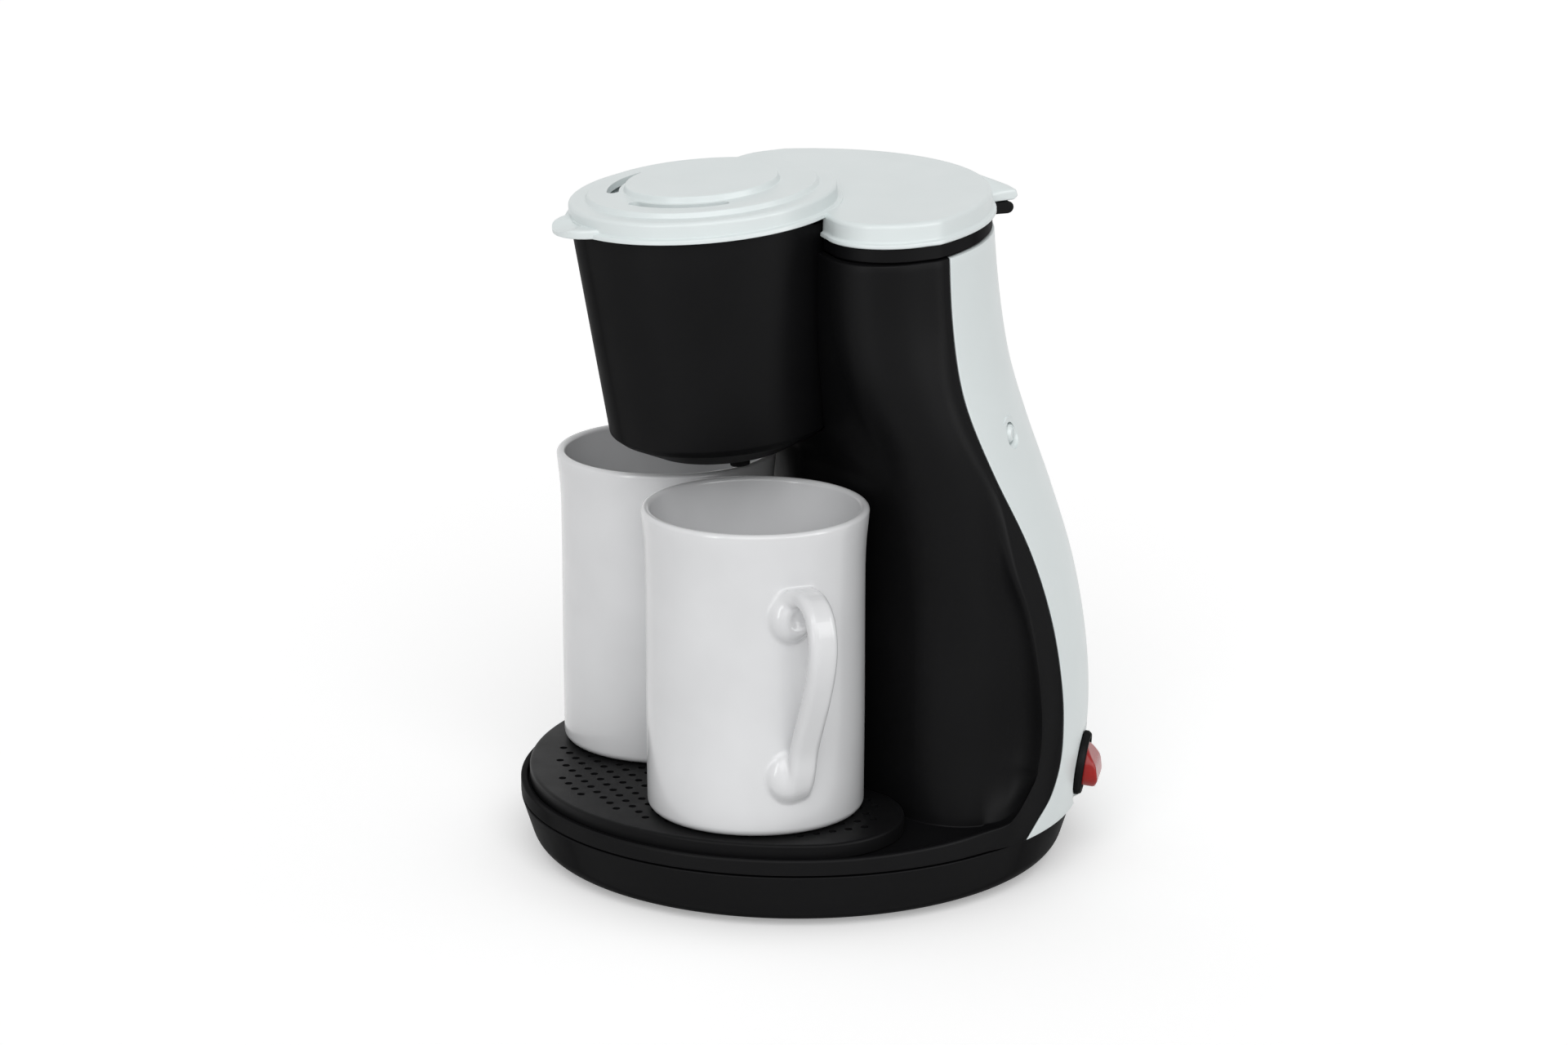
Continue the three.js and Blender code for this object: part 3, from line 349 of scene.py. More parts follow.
def settle(piece):
    """Turns a piece with modifiers into a plain mesh."""
    graph = bpy.context.evaluated_depsgraph_get()
    mesh = bpy.data.meshes.new_from_object(piece.evaluated_get(graph), depsgraph=graph)
    piece.modifiers.clear()
    old = piece.data
    piece.data = mesh
    mesh.name = piece.name
    if not old.users:
        bpy.data.meshes.remove(old)
    return piece


def carve(piece, *tools, operation="DIFFERENCE"):
    """Cuts tools out of a piece, or joins them to it, and discards them."""
    for tool in tools:
        step = piece.modifiers.new("carve", "BOOLEAN")
        step.operation = operation
        step.solver = "MANIFOLD"
        step.object = tool
    settle(piece)
    for tool in tools:
        bpy.data.objects.remove(tool, do_unlink=True)
    return piece


def join(piece, *others):
    return carve(piece, *others, operation="UNION")


def soft_shading(piece, angle=38):
    """Smooth shading with edges left sharp where faces turn by more than an angle."""
    piece.data.shade_smooth()
    piece.data.set_sharp_from_angle(angle=math.radians(angle))
    return piece


def moulded(name, distance, low, high, cell):
    """A closed skin where a distance function of points is zero, found on a grid of cells."""
    # the distance at every corner of the grid, a plane at a time
    axes = [np.arange(a - cell, b + 2 * cell, cell) for a, b in zip(low, high)]
    shape = tuple(len(a) for a in axes)
    value = np.empty(shape, np.float32)
    for i, x in enumerate(axes[0]):
        plane = np.empty(shape[1:] + (3,))
        plane[..., 0] = x
        plane[..., 1] = axes[1][:, None]
        plane[..., 2] = axes[2][None, :]
        value[i] = distance(plane)

    # a point in each cell that the skin passes, amid the places where it crosses the cell's edges
    cells = tuple(n - 1 for n in shape)
    total = np.zeros(cells + (3,), np.float32)
    count = np.zeros(cells, np.float32)
    corners = [(a, b, c) for a in (0, 1) for b in (0, 1) for c in (0, 1)]

    def part(array, corner):
        return array[tuple(slice(corner[k], corner[k] + cells[k]) for k in range(3))]

    for low_corner in corners:
        for axis in range(3):
            if low_corner[axis]:
                continue
            high_corner = tuple(low_corner[k] + (k == axis) for k in range(3))
            a, b = part(value, low_corner), part(value, high_corner)
            crossing = (a < 0) != (b < 0)
            t = np.where(crossing, a / np.where(crossing, a - b, 1), 0)
            count += crossing
            for k in range(3):
                total[..., k] += np.where(crossing, low_corner[k] + (t if k == axis else 0), 0)
    active = count > 0
    number = np.full(cells, -1, np.int64)
    number[active] = np.arange(active.sum())
    origin = np.array([a[0] for a in axes])
    points = origin + (np.argwhere(active) + total[active] / count[active][:, None]) * cell

    # a face round each edge of the grid that the skin crosses
    inside = value < 0
    faces = []
    for axis in range(3):
        b, c = (axis + 1) % 3, (axis + 2) % 3
        first = [slice(1, -1)] * 3
        first[axis] = slice(0, -1)
        second = list(first)
        second[axis] = slice(1, None)
        start, stop = inside[tuple(first)], inside[tuple(second)]
        for low_in in (True, False):
            hit = np.argwhere((start == low_in) & (stop != low_in))
            if not len(hit):
                continue
            hit = hit + np.array([0 if k == axis else 1 for k in range(3)])
            around = []
            for db, dc in ((0, 0), (-1, 0), (-1, -1), (0, -1)):
                cell_at = hit.copy()
                cell_at[:, b] += db
                cell_at[:, c] += dc
                around.append(number[tuple(cell_at.T)])
            quads = np.stack(around, 1)
            faces.append(quads if low_in else quads[:, ::-1])

    # the points are drawn onto the skin
    for _ in range(3):
        here = distance(points)
        slope = np.stack([
            distance(points + step) - distance(points - step)
            for step in 0.05 * np.eye(3)
        ], 1) / 0.1
        length = np.maximum((slope**2).sum(1), 0.05)
        shift = -slope * (here / length)[:, None]
        reach = np.linalg.norm(shift, axis=1, keepdims=True)
        points = points + shift * np.minimum(1, 0.5 * cell / np.maximum(reach, 1e-9))
    piece = new_piece(name, points, np.concatenate(faces))
    piece.data.shade_smooth()
    return piece


def path_distance(a, b, path, closed=False):
    """Distance in a plane from arrays (a, b) to a path, and how far along it, from 0 to 1."""
    path = np.asarray(path, float)
    ends = np.roll(path, -1, axis=0) if closed else path[1:]
    starts = path if closed else path[:-1]
    lengths = np.linalg.norm(ends - starts, axis=1)
    before = np.concatenate([[0], np.cumsum(lengths)])
    best = np.full(np.shape(a), 1e9)
    along = np.zeros(np.shape(a))
    for start, stop, length, run in zip(starts, ends, lengths, before):
        if length < 1e-9:
            continue
        u = (stop - start) / length
        t = np.clip((a - start[0]) * u[0] + (b - start[1]) * u[1], 0, length)
        d = np.hypot(a - start[0] - t * u[0], b - start[1] - t * u[1])
        near = d < best
        best = np.where(near, d, best)
        along = np.where(near, run + t, along)
    return best, along / before[-1]


def inside_outline(a, b, outline):
    """Signed distance to a closed outline, negative inside."""
    outline = np.asarray(outline, float)
    d, _ = path_distance(a, b, outline, closed=True)
    odd = np.zeros(np.shape(a), bool)
    for (x0, y0), (x1, y1) in zip(outline, np.roll(outline, -1, axis=0)):
        if y0 == y1:
            continue
        crosses = ((y0 > b) != (y1 > b)) & (a < (x1 - x0) * (b - y0) / (y1 - y0) + x0)
        odd ^= crosses
    return np.where(odd, -d, d)


def smooth_route(points, per_span):
    """A Catmull-Rom curve through points."""
    points = np.asarray(points, float)
    padded = np.vstack([2 * points[0] - points[1], points, 2 * points[-1] - points[-2]])
    out = []
    for i in range(len(points) - 1):
        p0, p1, p2, p3 = padded[i : i + 4]
        for t in np.linspace(0, 1, per_span, endpoint=False):
            out.append(0.5 * (
                2 * p1 + (p2 - p0) * t + (2 * p0 - 5 * p1 + 4 * p2 - p3) * t**2
                + (3 * p1 - p0 - 3 * p2 + p3) * t**3
            ))
    out.append(points[-1])
    return np.array(out)


# ------------------------------------------------------------------ the tower's outline

JOINT_STEPS, RIM_STEPS, COVE_STEPS, SIDE_STEPS, SHOULDER_STEPS, FRONT_STEPS = 3, 12, 16, 5, 24, 22
COVE_DEPTH = 12.0  # how far ahead of the rim's edge the tower's side starts to sweep out
COVE_TURN = math.radians(76)
HOUSING_WALL, COVER_WALL, COVER_GAP = 2.5, 2.4, 0.3
FOOT_FLARE, FOOT_FLARE_HEIGHT = 2.4, 24.0
RIM_SOFTNESS, CREST_ROUND, FLOOR_FILLET = 1.3, 0.8, 0.4
RIM_COLUMNS = JOINT_STEPS + 2 + RIM_STEPS  # the columns from the joint to the rim's edge


def bell_point(angle, z, inset):
    radius = bell_radius(z) - inset
    return np.array([radius * math.cos(angle), bell_centre(z) + radius * math.sin(angle)])


def bell_angle(y, z, inset=0.0):
    return math.asin(np.clip((y - bell_centre(z)) / (bell_radius(z) - inset), -1, 1))


def eased_corner(corner, before, after, radius):
    """Points that round a corner between two directions leaving it."""
    start, stop = corner + radius * before, corner + radius * after
    t = np.linspace(0, 1, JOINT_STEPS + 2)[:, None]
    return (1 - t) ** 2 * start + 2 * t * (1 - t) * corner + t**2 * stop


def band_point(angle, z, inset=0.0):
    """A point of the outer face, which is the bell behind and above, and the deck's own circle ahead
    and low down."""
    outward = np.stack([np.cos(angle), np.sin(angle)], -1)
    ahead = (ease(38, 27, BASE_RADIUS * outward[..., 1]) * ease(75, 45, z))[..., None]
    bell = outward * np.asarray(bell_radius(z) - inset)[..., None]
    bell[..., 1] += bell_centre(z)
    return bell * (1 - ahead) + outward * (BASE_RADIUS - inset) * ahead


def rim_row(z, edge_angle, inset=0.0, past_joint=0.0, joint_round=0.5):
    """The rim's outer face at a height, from the joint with the cover to an angle."""
    joint = float(seam_depth(z)) + past_joint
    corner_angle = bell_angle(joint, z, inset)
    corner = bell_point(corner_angle, z, inset)
    forward = np.array([math.sin(corner_angle), -math.cos(corner_angle)])
    rounded = eased_corner(corner, np.array([-1.0, 0.0]), forward, joint_round)
    angles = np.linspace(bell_angle(joint - joint_round, z, inset), edge_angle, RIM_STEPS + 1)[1:]
    return np.concatenate([rounded, band_point(angles, z, inset)])


def rim_edge(z, inset=0.0, side=None):
    """Depth of the rim's front edge, which closes on the tower's side further up."""
    side = side_reach(z) - inset if side is None else side
    radius = bell_radius(z) - inset
    meeting = bell_centre(z) + math.sqrt(max(radius**2 - side**2, 1))
    return float(smooth_min(rim_depth(z) + inset, meeting, 3.0))


def tower_outline(z, inset=0.0, past_joint=0.0, joint_round=0.5):
    """The tower's right half at a height, from the joint with the cover to the front's middle."""
    flare = FOOT_FLARE * max(0.0, 1 - max(0.0, z - DECK_TOP) / FOOT_FLARE_HEIGHT) ** 2
    side = float(side_reach(z)) - inset + flare
    edge = rim_edge(z, inset, side)
    depth = float(shoulder_depth(z))
    start = max(edge - COVE_DEPTH, depth + 1.5)
    start = min(start, edge - 0.5)
    points = [rim_row(z, bell_angle(edge, z, inset), inset, past_joint, joint_round)]
    # the cove from the rim's edge to the side
    reach = points[-1][-1][0] - side
    turn = np.linspace(COVE_TURN, 0, COVE_STEPS + 1)[1:]
    cove_x = side + reach * (1 - np.cos(turn)) / (1 - math.cos(COVE_TURN))
    cove_y = start + (edge - start) * np.sin(turn) / math.sin(COVE_TURN)
    points.append(np.stack([cove_x, cove_y], 1))
    side_y = np.linspace(start, depth, SIDE_STEPS + 1)[1:]
    points.append(np.stack([np.full(SIDE_STEPS, side), side_y], 1))
    # the shoulder and the front
    last = float(shoulder_start(z))
    centre = np.array([float(side_reach(z)) - SHOULDER, depth])
    angles = np.radians(np.linspace(0, last, SHOULDER_STEPS + 1)[1:])
    radius = SHOULDER - inset + flare * (1 - ease(0, 1, angles / math.radians(last)))
    points.append(centre + np.stack([radius * np.cos(angles), radius * np.sin(angles)], 1))
    end = points[-1][-1]
    middle = float(front_depth(z)) + inset
    x = np.linspace(end[0], 0, FRONT_STEPS + 1)[1:]
    y = middle + (end[1] - middle) * (x / end[0]) ** 1.3
    points.append(np.stack([x, y], 1))
    return np.concatenate(points)


def softened(path, width):
    """Averages a path over a width along itself, which rounds its corners. Ends stay put."""
    step = np.linalg.norm(np.diff(path, axis=0), axis=1)
    along = np.concatenate([[0], np.cumsum(step)])
    width = np.minimum(width, 2 * np.minimum(along, along[-1] - along))
    samples = np.linspace(-0.5, 0.5, 13)
    total = np.zeros_like(path)
    for s in samples:
        at = along + s * width
        total += np.stack([np.interp(at, along, column) for column in path.T], 1)
    return total / len(samples)


def mirrored(half):
    """A half outline ending on the middle, completed with its other half."""
    half = np.asarray(half, float)
    other = half[:-1][::-1] * np.array([-1, 1] + [1] * (half.shape[1] - 2))
    return np.concatenate([half, other])


NECK_Z = PLATE_PIVOT[2] - PLATE_HEIGHT - NECK_HEIGHT
CREST_TOP = 40.0  # above this height the rim's edge only goes up
TOWER_ROWS = np.concatenate([
    np.linspace(low, high, count)[1:]
    for low, high, count in ((CREST_TOP, 122, 58), (122, 146, 26), (146, NECK_Z - 0.5, 24))
])


def under_the_lid(plan, z):
    """Points of a plan at a height, tilting with the lid's plate towards the neck."""
    tilt = (plan[:, 1] - PLATE_PIVOT[1]) * math.tan(PLATE_TILT)
    return np.column_stack([plan, z + tilt * ease(150, NECK_Z, z)])


def past_the_joint(count):
    """0 for the columns of the joint's rounded corner, which stays crisp, and 1 soon after it."""
    return ease(0, 4, np.arange(count) - JOINT_STEPS - 2)[:, None]


def tower_row(z):
    """The right half of the tower at a height, its rim softened, in three dimensions."""
    path = tower_outline(z)
    soft = softened(path, RIM_SOFTNESS + 3.7 * ease(55, 118, z))
    blend = past_the_joint(len(path))
    return under_the_lid(path * (1 - blend) + soft * blend, z)


def on_the_band(angle, z, inset=0.0):
    """Points of the outer face at angles and heights."""
    return np.column_stack([band_point(angle, z, inset), z])


def deck_angles(edge):
    """Where the deck's columns stand at its lower edge, and where they reach its crest."""
    spans = (COVE_STEPS, SIDE_STEPS, SHOULDER_STEPS, FRONT_STEPS)

    def round_the_deck(*stops):
        sweep = [np.linspace(a, b, n + 1)[1:] for a, b, n in zip(stops[:-1], stops[1:], spans)]
        return np.radians(np.concatenate([[stops[0]], *sweep]))

    low = round_the_deck(20.5, 14, 11, -36, -90)
    high = round_the_deck(math.degrees(edge), 15.5, 12, -36, -90)
    spread = np.linspace(0, 1, COVE_STEPS + 1) ** 1.5  # closer together where the crest climbs
    high[: COVE_STEPS + 1] = high[0] + (high[COVE_STEPS] - high[0]) * spread
    return low, high


def whole_row(columns, z):
    """A row of the deck, completed by the rim behind its first column."""
    behind = rim_row(z, math.atan2(columns[0, 1] - bell_centre(z), columns[0, 0]))
    return np.concatenate([at_height(behind, z), columns[1:]])


def deck_side(low, high, height, plain):
    """The outer face, from the lower edge to just under the crest."""
    rows = []
    for lift, inset in ((0, 0.35), (0.12, 0.1), (0.4, 0)):
        z = DECK_BOTTOM + lift
        level = np.full(len(low), z)
        row = whole_row(on_the_band(low, level, inset), z)
        row[:RIM_COLUMNS, :2] = rim_row(z, low[0], inset)
        rows.append(row)
    for t in np.linspace(0.2, 1, 12):
        z = DECK_BOTTOM + t * (height - CREST_ROUND * plain - DECK_BOTTOM)
        angle = low + (high - low) * t
        rows.append(whole_row(on_the_band(angle, z), float(z[0])))
    return rows


def deck_section(high, crest, wall):
    """The deck's own section at each column: crest, ledge, floor, fillet and wall."""
    outward = np.stack([np.cos(high), np.sin(high)], 1)
    height, foot = crest[:, 2], wall[0, :, :2]
    floor = np.full(len(foot), DECK_FLOOR)
    gap = np.linalg.norm(foot - crest[:, :2], axis=1)
    section = [
        (CREST_ROUND * (1 - math.cos(a)), height - CREST_ROUND + CREST_ROUND * math.sin(a))
        for a in np.radians([22, 45, 68, 90])
    ]
    section += [(1.5, height), (1.9, height - 0.08), (2.12, height - 0.3), (2.2, height - 0.6),
                (2.25, floor + 0.35), (2.4, floor + 0.08), (2.8, floor)]
    rows = []
    for inset, z in section:
        rows.append(np.column_stack([crest[:, :2] - outward * np.minimum(inset, 0.45 * gap)[:, None], z]))

    # the floor runs level to the fillet at the foot of the wall
    inner = rows[-1][:, :2]
    normal = np.gradient(foot, axis=0)
    normal = np.stack([-normal[:, 1], normal[:, 0]], 1)
    normal /= np.maximum(np.linalg.norm(normal, axis=1, keepdims=True), 1e-9)
    side = np.sign((normal * (inner - foot)).sum(1, keepdims=True))
    reach = np.where(side == 0, 1, side) * normal * np.minimum(FLOOR_FILLET, 0.3 * gap)[:, None]
    for t in np.linspace(1, 5, 5) / 6:
        rows.append(np.column_stack([inner * (1 - t) + (foot + reach) * t, floor]))
    for a in np.radians(np.linspace(0, 80, 7)):
        plan = foot + reach * (1 - math.sin(a))
        rows.append(np.column_stack([plan, floor + FLOOR_FILLET * (1 - math.cos(a))]))

    # the wall, from the fillet up
    start = (floor + FLOOR_FILLET)[None, :]
    levels = np.linspace(0, 1, len(wall))[:, None]
    for row in start + (CREST_TOP - start) * levels:
        plan = [[np.interp(z, wall[:, k, 2], wall[:, k, axis]) for axis in (0, 1)] for k, z in enumerate(row)]
        rows.append(np.column_stack([plan, row]))
    return np.array(rows)


def deck_rows():
    """Rows up the outer face, over its crest, across the ledge and the floor and up the tower's foot."""
    walls = np.array([tower_row(z) for z in np.linspace(DECK_FLOOR + 1, CREST_TOP, 16)])
    edge = bell_angle(rim_edge(CREST_TOP), CREST_TOP)
    low, high = deck_angles(edge)
    height = crest_height(np.degrees(high))
    crest = on_the_band(high, height)
    plain = ease(2, 22, np.arange(len(high)))  # 1 where the deck has its full section
    rows = deck_side(low, high, height, plain)
    own = deck_section(high, crest, walls[:, RIM_COLUMNS - 1 :])

    # the cove, sweeping from the crest to the tower's side
    steps = np.linalg.norm(np.diff(own, axis=0), axis=2)
    along = np.concatenate([np.zeros((1, len(high))), np.cumsum(steps, axis=0)])
    t = (along / along[-1])[..., None]
    top = walls[-1, RIM_COLUMNS - 1 :]
    dip = crest[:, 2] - 0.12 * np.linalg.norm(top[:, :2] - crest[:, :2], axis=1)
    leave = np.column_stack([crest[:, :2] * 0.68 + top[:, :2] * 0.32, dip])
    arrive = np.column_stack([top[:, :2], dip])
    sweep = crest * (1 - t) ** 3 + 3 * leave * t * (1 - t) ** 2 + 3 * arrive * t**2 * (1 - t) + top * t**3
    mix = plain[:, None]
    for k, columns in enumerate(sweep * (1 - mix) + own * mix):
        z = float(height[0] + (CREST_TOP - height[0]) * t[k, 1, 0])
        turn = high[0] + (edge - high[0]) * t[k, 1, 0]
        columns[0] = [*band_point(turn, z), z]
        rows.append(whole_row(columns, z))
    rows[-1] = walls[-1]

    # the crest and the rim's edge are rounded, along the columns and along the rows
    grid = np.array(rows)
    for column in range(RIM_COLUMNS, grid.shape[1]):
        amount = RIM_SOFTNESS * float(1 - plain[column - RIM_COLUMNS + 1])
        if amount > 0.05:
            grid[:, column] = softened(grid[:, column], amount)
    blend = past_the_joint(grid.shape[1])
    for k in range(3, len(grid) - 1):
        grid[k] = grid[k] * (1 - blend) + softened(grid[k], RIM_SOFTNESS) * blend
    return list(grid)


def body_rings():
    """The housing's outside from its lower edge to a rounded neck."""
    halves = deck_rows() + [tower_row(z) for z in TOWER_ROWS]
    top = halves[-1]
    middle = np.array([0, 20.0])
    for inset, rise in ((0.12, 0.28), (0.35, 0.42), (0.8, 0.5)):
        row = top.copy()
        inward = middle - row[:, :2]
        row[:, :2] += inset * inward / np.linalg.norm(inward, axis=1, keepdims=True)
        row[:, 2] += rise
        halves.append(row)
    return np.array([mirrored(half) for half in halves])


def housing_inside():
    """The hollow behind the housing's wall, open downwards, upwards and to the rear."""
    heights = np.concatenate([[12.0], np.linspace(DECK_BOTTOM - 1, 205, 46)])
    rings = [mirrored(at_height(tower_outline(max(z, 16.0), HOUSING_WALL, 7.0, 0.1), z)) for z in heights]
    return solid("inside", ring_solid(rings))


TRAY_CORNER_PLACE = (TRAY_RADIUS - TRAY_CORNER) * np.array([math.cos(TRAY_TURN), -math.sin(TRAY_TURN)])


def tray_outline(inset):
    """A disc whose rear is hollowed by a larger circle, with round corners between the two."""
    radius = TRAY_CORNER - inset
    rear = arc((0, TRAY_REAR_Y), TRAY_REAR_RADIUS + inset, -63, -90, 22)
    rear = rear[np.linalg.norm(rear - TRAY_CORNER_PLACE, axis=1) > radius]
    front = arc((0, 0), TRAY_RADIUS - inset, -90, -20, 40)[:-1]
    half = np.concatenate([front, arc(TRAY_CORNER_PLACE, radius, -20, 96, 22), rear])
    return mirrored(half)[:-1]


# ------------------------------------------------------------------ shared cutters and frames


def bucket_cone(offset):
    """The bucket's outside, made larger all round."""
    floor = BUCKET_FLOOR - offset
    return lathed("cone", [
        (0, floor, 0), (21, floor, 1.0), (31.2 + offset, -77 - offset, 1.5),
        (33.7 + offset, -75.0 - offset, 1.4), (39.7 + offset, -10, 0), (40.9 + offset, 6, 0), (0, 6, 0),
    ], 160, leaning)


def plate_outline(offset):
    """The lid's rear plate: two round shoulders and a bell behind."""
    side, rear = 58 + offset, 63.5 + offset
    corner = math.degrees(math.acos(side / rear))
    shoulder = arc((39.5, 13.2), SHOULDER + offset, -100, 0, 14)
    return mirrored(np.concatenate([shoulder, arc((0, BELL_DRIFT), rear, corner, 90, 24)]))


def plated(points):
    """Takes points out of the lid plate's frame."""
    points = np.asarray(points, float) - [0, PLATE_PIVOT[1], 0]
    return out_of_x(points, PLATE_TILT, PLATE_PIVOT)


def plate_slab(name, layers):
    return layered(name, plate_outline, layers, plated)


def bell_normal_place(azimuth, z, lean=0.0):
    """A matrix standing on the rear bell, looking outward."""
    radius = float(bell_radius(z))
    point = (radius * math.sin(azimuth), float(bell_centre(z)) + radius * math.cos(azimuth), z)
    return facing(point, (math.sin(azimuth), math.cos(azimuth), -math.sin(lean)))


SWITCH_PLACE = bell_normal_place(SWITCH_TURN, SWITCH_Z, math.radians(8))
GLAND_PLACE = bell_normal_place(0.0, GLAND_Z)
SCREW_TURN = math.atan2(51.2, 51.6)


def rod(name, radius, low, high, place, segments=48, top=None):
    """A round bar, or a cone if its top has another radius."""
    top = radius if top is None else top
    return turned_piece(name, [(0, low), (radius, low), (top, high), (0, high)], segments, place)


def hinge_place(points):
    """Turns a piece from its own Z to the hinge's line."""
    x, y, z = points.T
    return np.stack([z, HINGE_Y + x, HINGE_Z + y], 1)


# ------------------------------------------------------------------ pieces


def build_body_shell():
    """The deck, the rim and the tower in one moulding, with the tray's well sunk into the deck."""
    piece = solid("body_housing", ring_solid(body_rings()))
    join(piece, prism("well", tray_outline(3), 13.4, DECK_FLOOR - 0.6))
    carve(piece, housing_inside(), prism("well", tray_outline(5), 15.4, 40), bucket_cone(0.3))
    return soft_shading(piece)


def cover_ring(z, inset):
    """The rear cover's section at a height: its outer face, its inner face and two rounded edges."""
    joint = float(seam_depth(z)) + COVER_GAP
    angle = bell_angle(joint, z, inset)
    edge = eased_corner(bell_point(angle, z, inset), np.array([-1.0, 0.0]),
                        np.array([-math.sin(angle), math.cos(angle)]), 0.5)
    fine = np.linspace(bell_angle(joint + 0.5, z, inset), math.pi / 2, 64)[1:]
    outer = np.concatenate([edge, [bell_point(a, z, inset) for a in fine]])
    coarse = np.linspace(math.pi / 2, bell_angle(joint, z, COVER_WALL), 26)
    inner = np.array([bell_point(a, z, COVER_WALL) for a in coarse])
    return under_the_lid(np.concatenate([mirrored(outer), mirrored(inner[::-1])[::-1]]), z)


def build_back_cover():
    """The white shell behind the tower, pierced for the switch, the cord and two screws."""
    heights = np.concatenate([
        [DECK_BOTTOM + 0.4], np.linspace(DECK_BOTTOM + 2, 66, 46), np.linspace(66, NECK_Z - 0.6, 62)[1:],
    ])
    rings = [cover_ring(DECK_BOTTOM, 0.35), cover_ring(DECK_BOTTOM + 0.1, 0.1)]
    rings += [cover_ring(z, 0) for z in heights]
    top = rings[-1]
    inward = np.array([0, float(bell_centre(NECK_Z))]) - top[:, :2]
    away = np.linalg.norm(inward, axis=1, keepdims=True)
    inward *= np.where(away > float(bell_radius(NECK_Z)) - 1.2, 1, -1) / away
    rings += [np.column_stack([top[:, :2] + inset * inward, top[:, 2] + rise])
              for inset, rise in ((0.12, 0.28), (0.4, 0.4))]
    piece = solid("rear_cover", ring_solid(rings))
    switch, gland = moved(SWITCH_PLACE), moved(GLAND_PLACE)
    join(piece, rod("pad", 12.6, -4.6, -1.9, switch), rod("pad", 9, -4, -1.6, gland))
    tools = [
        lathed("scoop", [(0, -1.0, 0), (12.3, -1.0, 0.5), (13.5, 4, 0), (0, 4, 0)], 96, switch),
        rod("hole", 9.25, -9, 4, switch, 96), rod("hole", 5.3, -9, 4, gland),
        rod("recess", 7.3, -0.6, 4, gland, 64),
    ]
    for side in (-1, 1):
        place = moved(bell_normal_place(side * SCREW_TURN, COVER_SCREW_Z))
        join(piece, rod("boss", 5.4, -4, -1.2, place))
        tools.append(lathed("recess", [
            (0, -2.9, 0), (3.5, -2.9, 0.3), (3.5, -0.35, 0.2), (4.3, 0.6, 0), (4.3, 3, 0), (0, 3, 0),
        ], 64, place))
        tools.append(rod("hole", 1.7, -8, 3, place, 24))
    return soft_shading(carve(piece, *tools))


def build_base_pan():
    """The shallow pan under the deck, with bosses and recesses for its screws and feet."""
    low, floor, top, lip = 1.5, 4, 17.6, 81.5

    def radius(z):
        return BASE_RADIUS - 0.32 * (top - z)

    outside = rounded_path([(0, low, 0), (radius(low), low, 8.0), (radius(top), top, 0.35), (lip, top, 0)], 10)
    inside = rounded_path([(lip, top, 0), (radius(floor) - 2.5, floor, 5.5), (0, floor, 0)], 8)
    piece = turned_piece("base_pan_shell", np.concatenate([outside, inside[1:]]), 192)
    bosses, cutters = [], []
    for x, y in SCREW_PLACES:
        at = standing_at(x, y)
        bosses.append(rod("boss", 4.6, 3, 10.2, at, 32))
        cutters.append(lathed("recess", [
            (0, 7, 0), (3.4, 7, 0.4), (3.4, 1.9, 0.3), (4.2, 0, 0), (0, 0, 0),
        ], 40, at))
    for x, y in FOOT_PLACES:
        at = standing_at(x, y)
        bosses.append(rod("boss", 8.6, 3, 5.4, at, 40))
        cutters.append(rod("recess", 6.8, 0, 3.4, at))
    return carve(join(piece, *bosses), *cutters)


def build_filter_bucket():
    """The leaning bucket, open towards the tank, with a hole over each mug."""
    piece = lathed("brew_bucket", [
        (0, BUCKET_FLOOR, 0), (21, BUCKET_FLOOR, 0.6), (31.2, -77, 1.5), (33.6, -75.0, 1.6),
        (39.7, -10.0, 0.5), (37.5, -10.0, 0.4), (36.6, BASKET_RIM, 0.3), (35.3, BASKET_RIM, 0.3),
        (35.6, -25.2, 0.3), (31.6, -73.5, 3.0), (20.5, -80, 3.0), (0, -80, 0),
    ], 176, leaning)
    holes = [rod("hole", 3.4, -84, -78, leaning_at(side * NOZZLE_SPREAD, 0, 0), 32) for side in (-1, 1)]
    relief = block("relief", (-60, -9, 201.3), (60, 30, 230))
    return soft_shading(carve(piece, relief, block("notch", (-3, -9, 196.6), (3, 30, 230)), *holes))


def build_nozzle(name, side):
    """The short spout that is pressed into the bucket's floor over a mug."""
    return soft_shading(lathed(name, [
        (1.7, -85.4, 0), (2.0, -85.6, 0), (3.0, -85.3, 0.3), (3.0, -79.7, 0.2), (4.6, -79.7, 0.2),
        (4.6, -78.7, 0.2), (1.7, -78.7, 0),
    ], 40, leaning_at(side * NOZZLE_SPREAD, 0, 0), 4), 40)


def basket_radius(h, inset=0.0):
    """The basket's outer radius at a level of the leaning frame."""
    return 34.6 - (BASKET_RIM - h) * 0.135 - inset


def build_filter_frame():
    """The lift-out basket, still without its windows and standing upright."""
    low = BASKET_FLOOR
    return lathed("basket_frame", [
        (0, low, 0), (basket_radius(low), low, 0.8), (basket_radius(BASKET_RIM), -21.7, 0.3),
        (36.2, -21.7, 0.2), (36.2, -20.3, 0.4), (basket_radius(BASKET_RIM, 1.6), -20.3, 0.4),
        (basket_radius(low + 1.6, 1.6), low + 1.6, 0.8), (0, low + 1.6, 0),
    ], 144)


def floor_window(start):
    """A cutter for one of the windows in the basket's floor, which narrows towards the middle."""
    outline = [arc((0, 0), 21, start, start + 74, 20), arc((0, 0), 7, start + 68, start + 6, 10)]
    return prism("window", np.concatenate(outline), BASKET_FLOOR - 6, BASKET_FLOOR + 10)


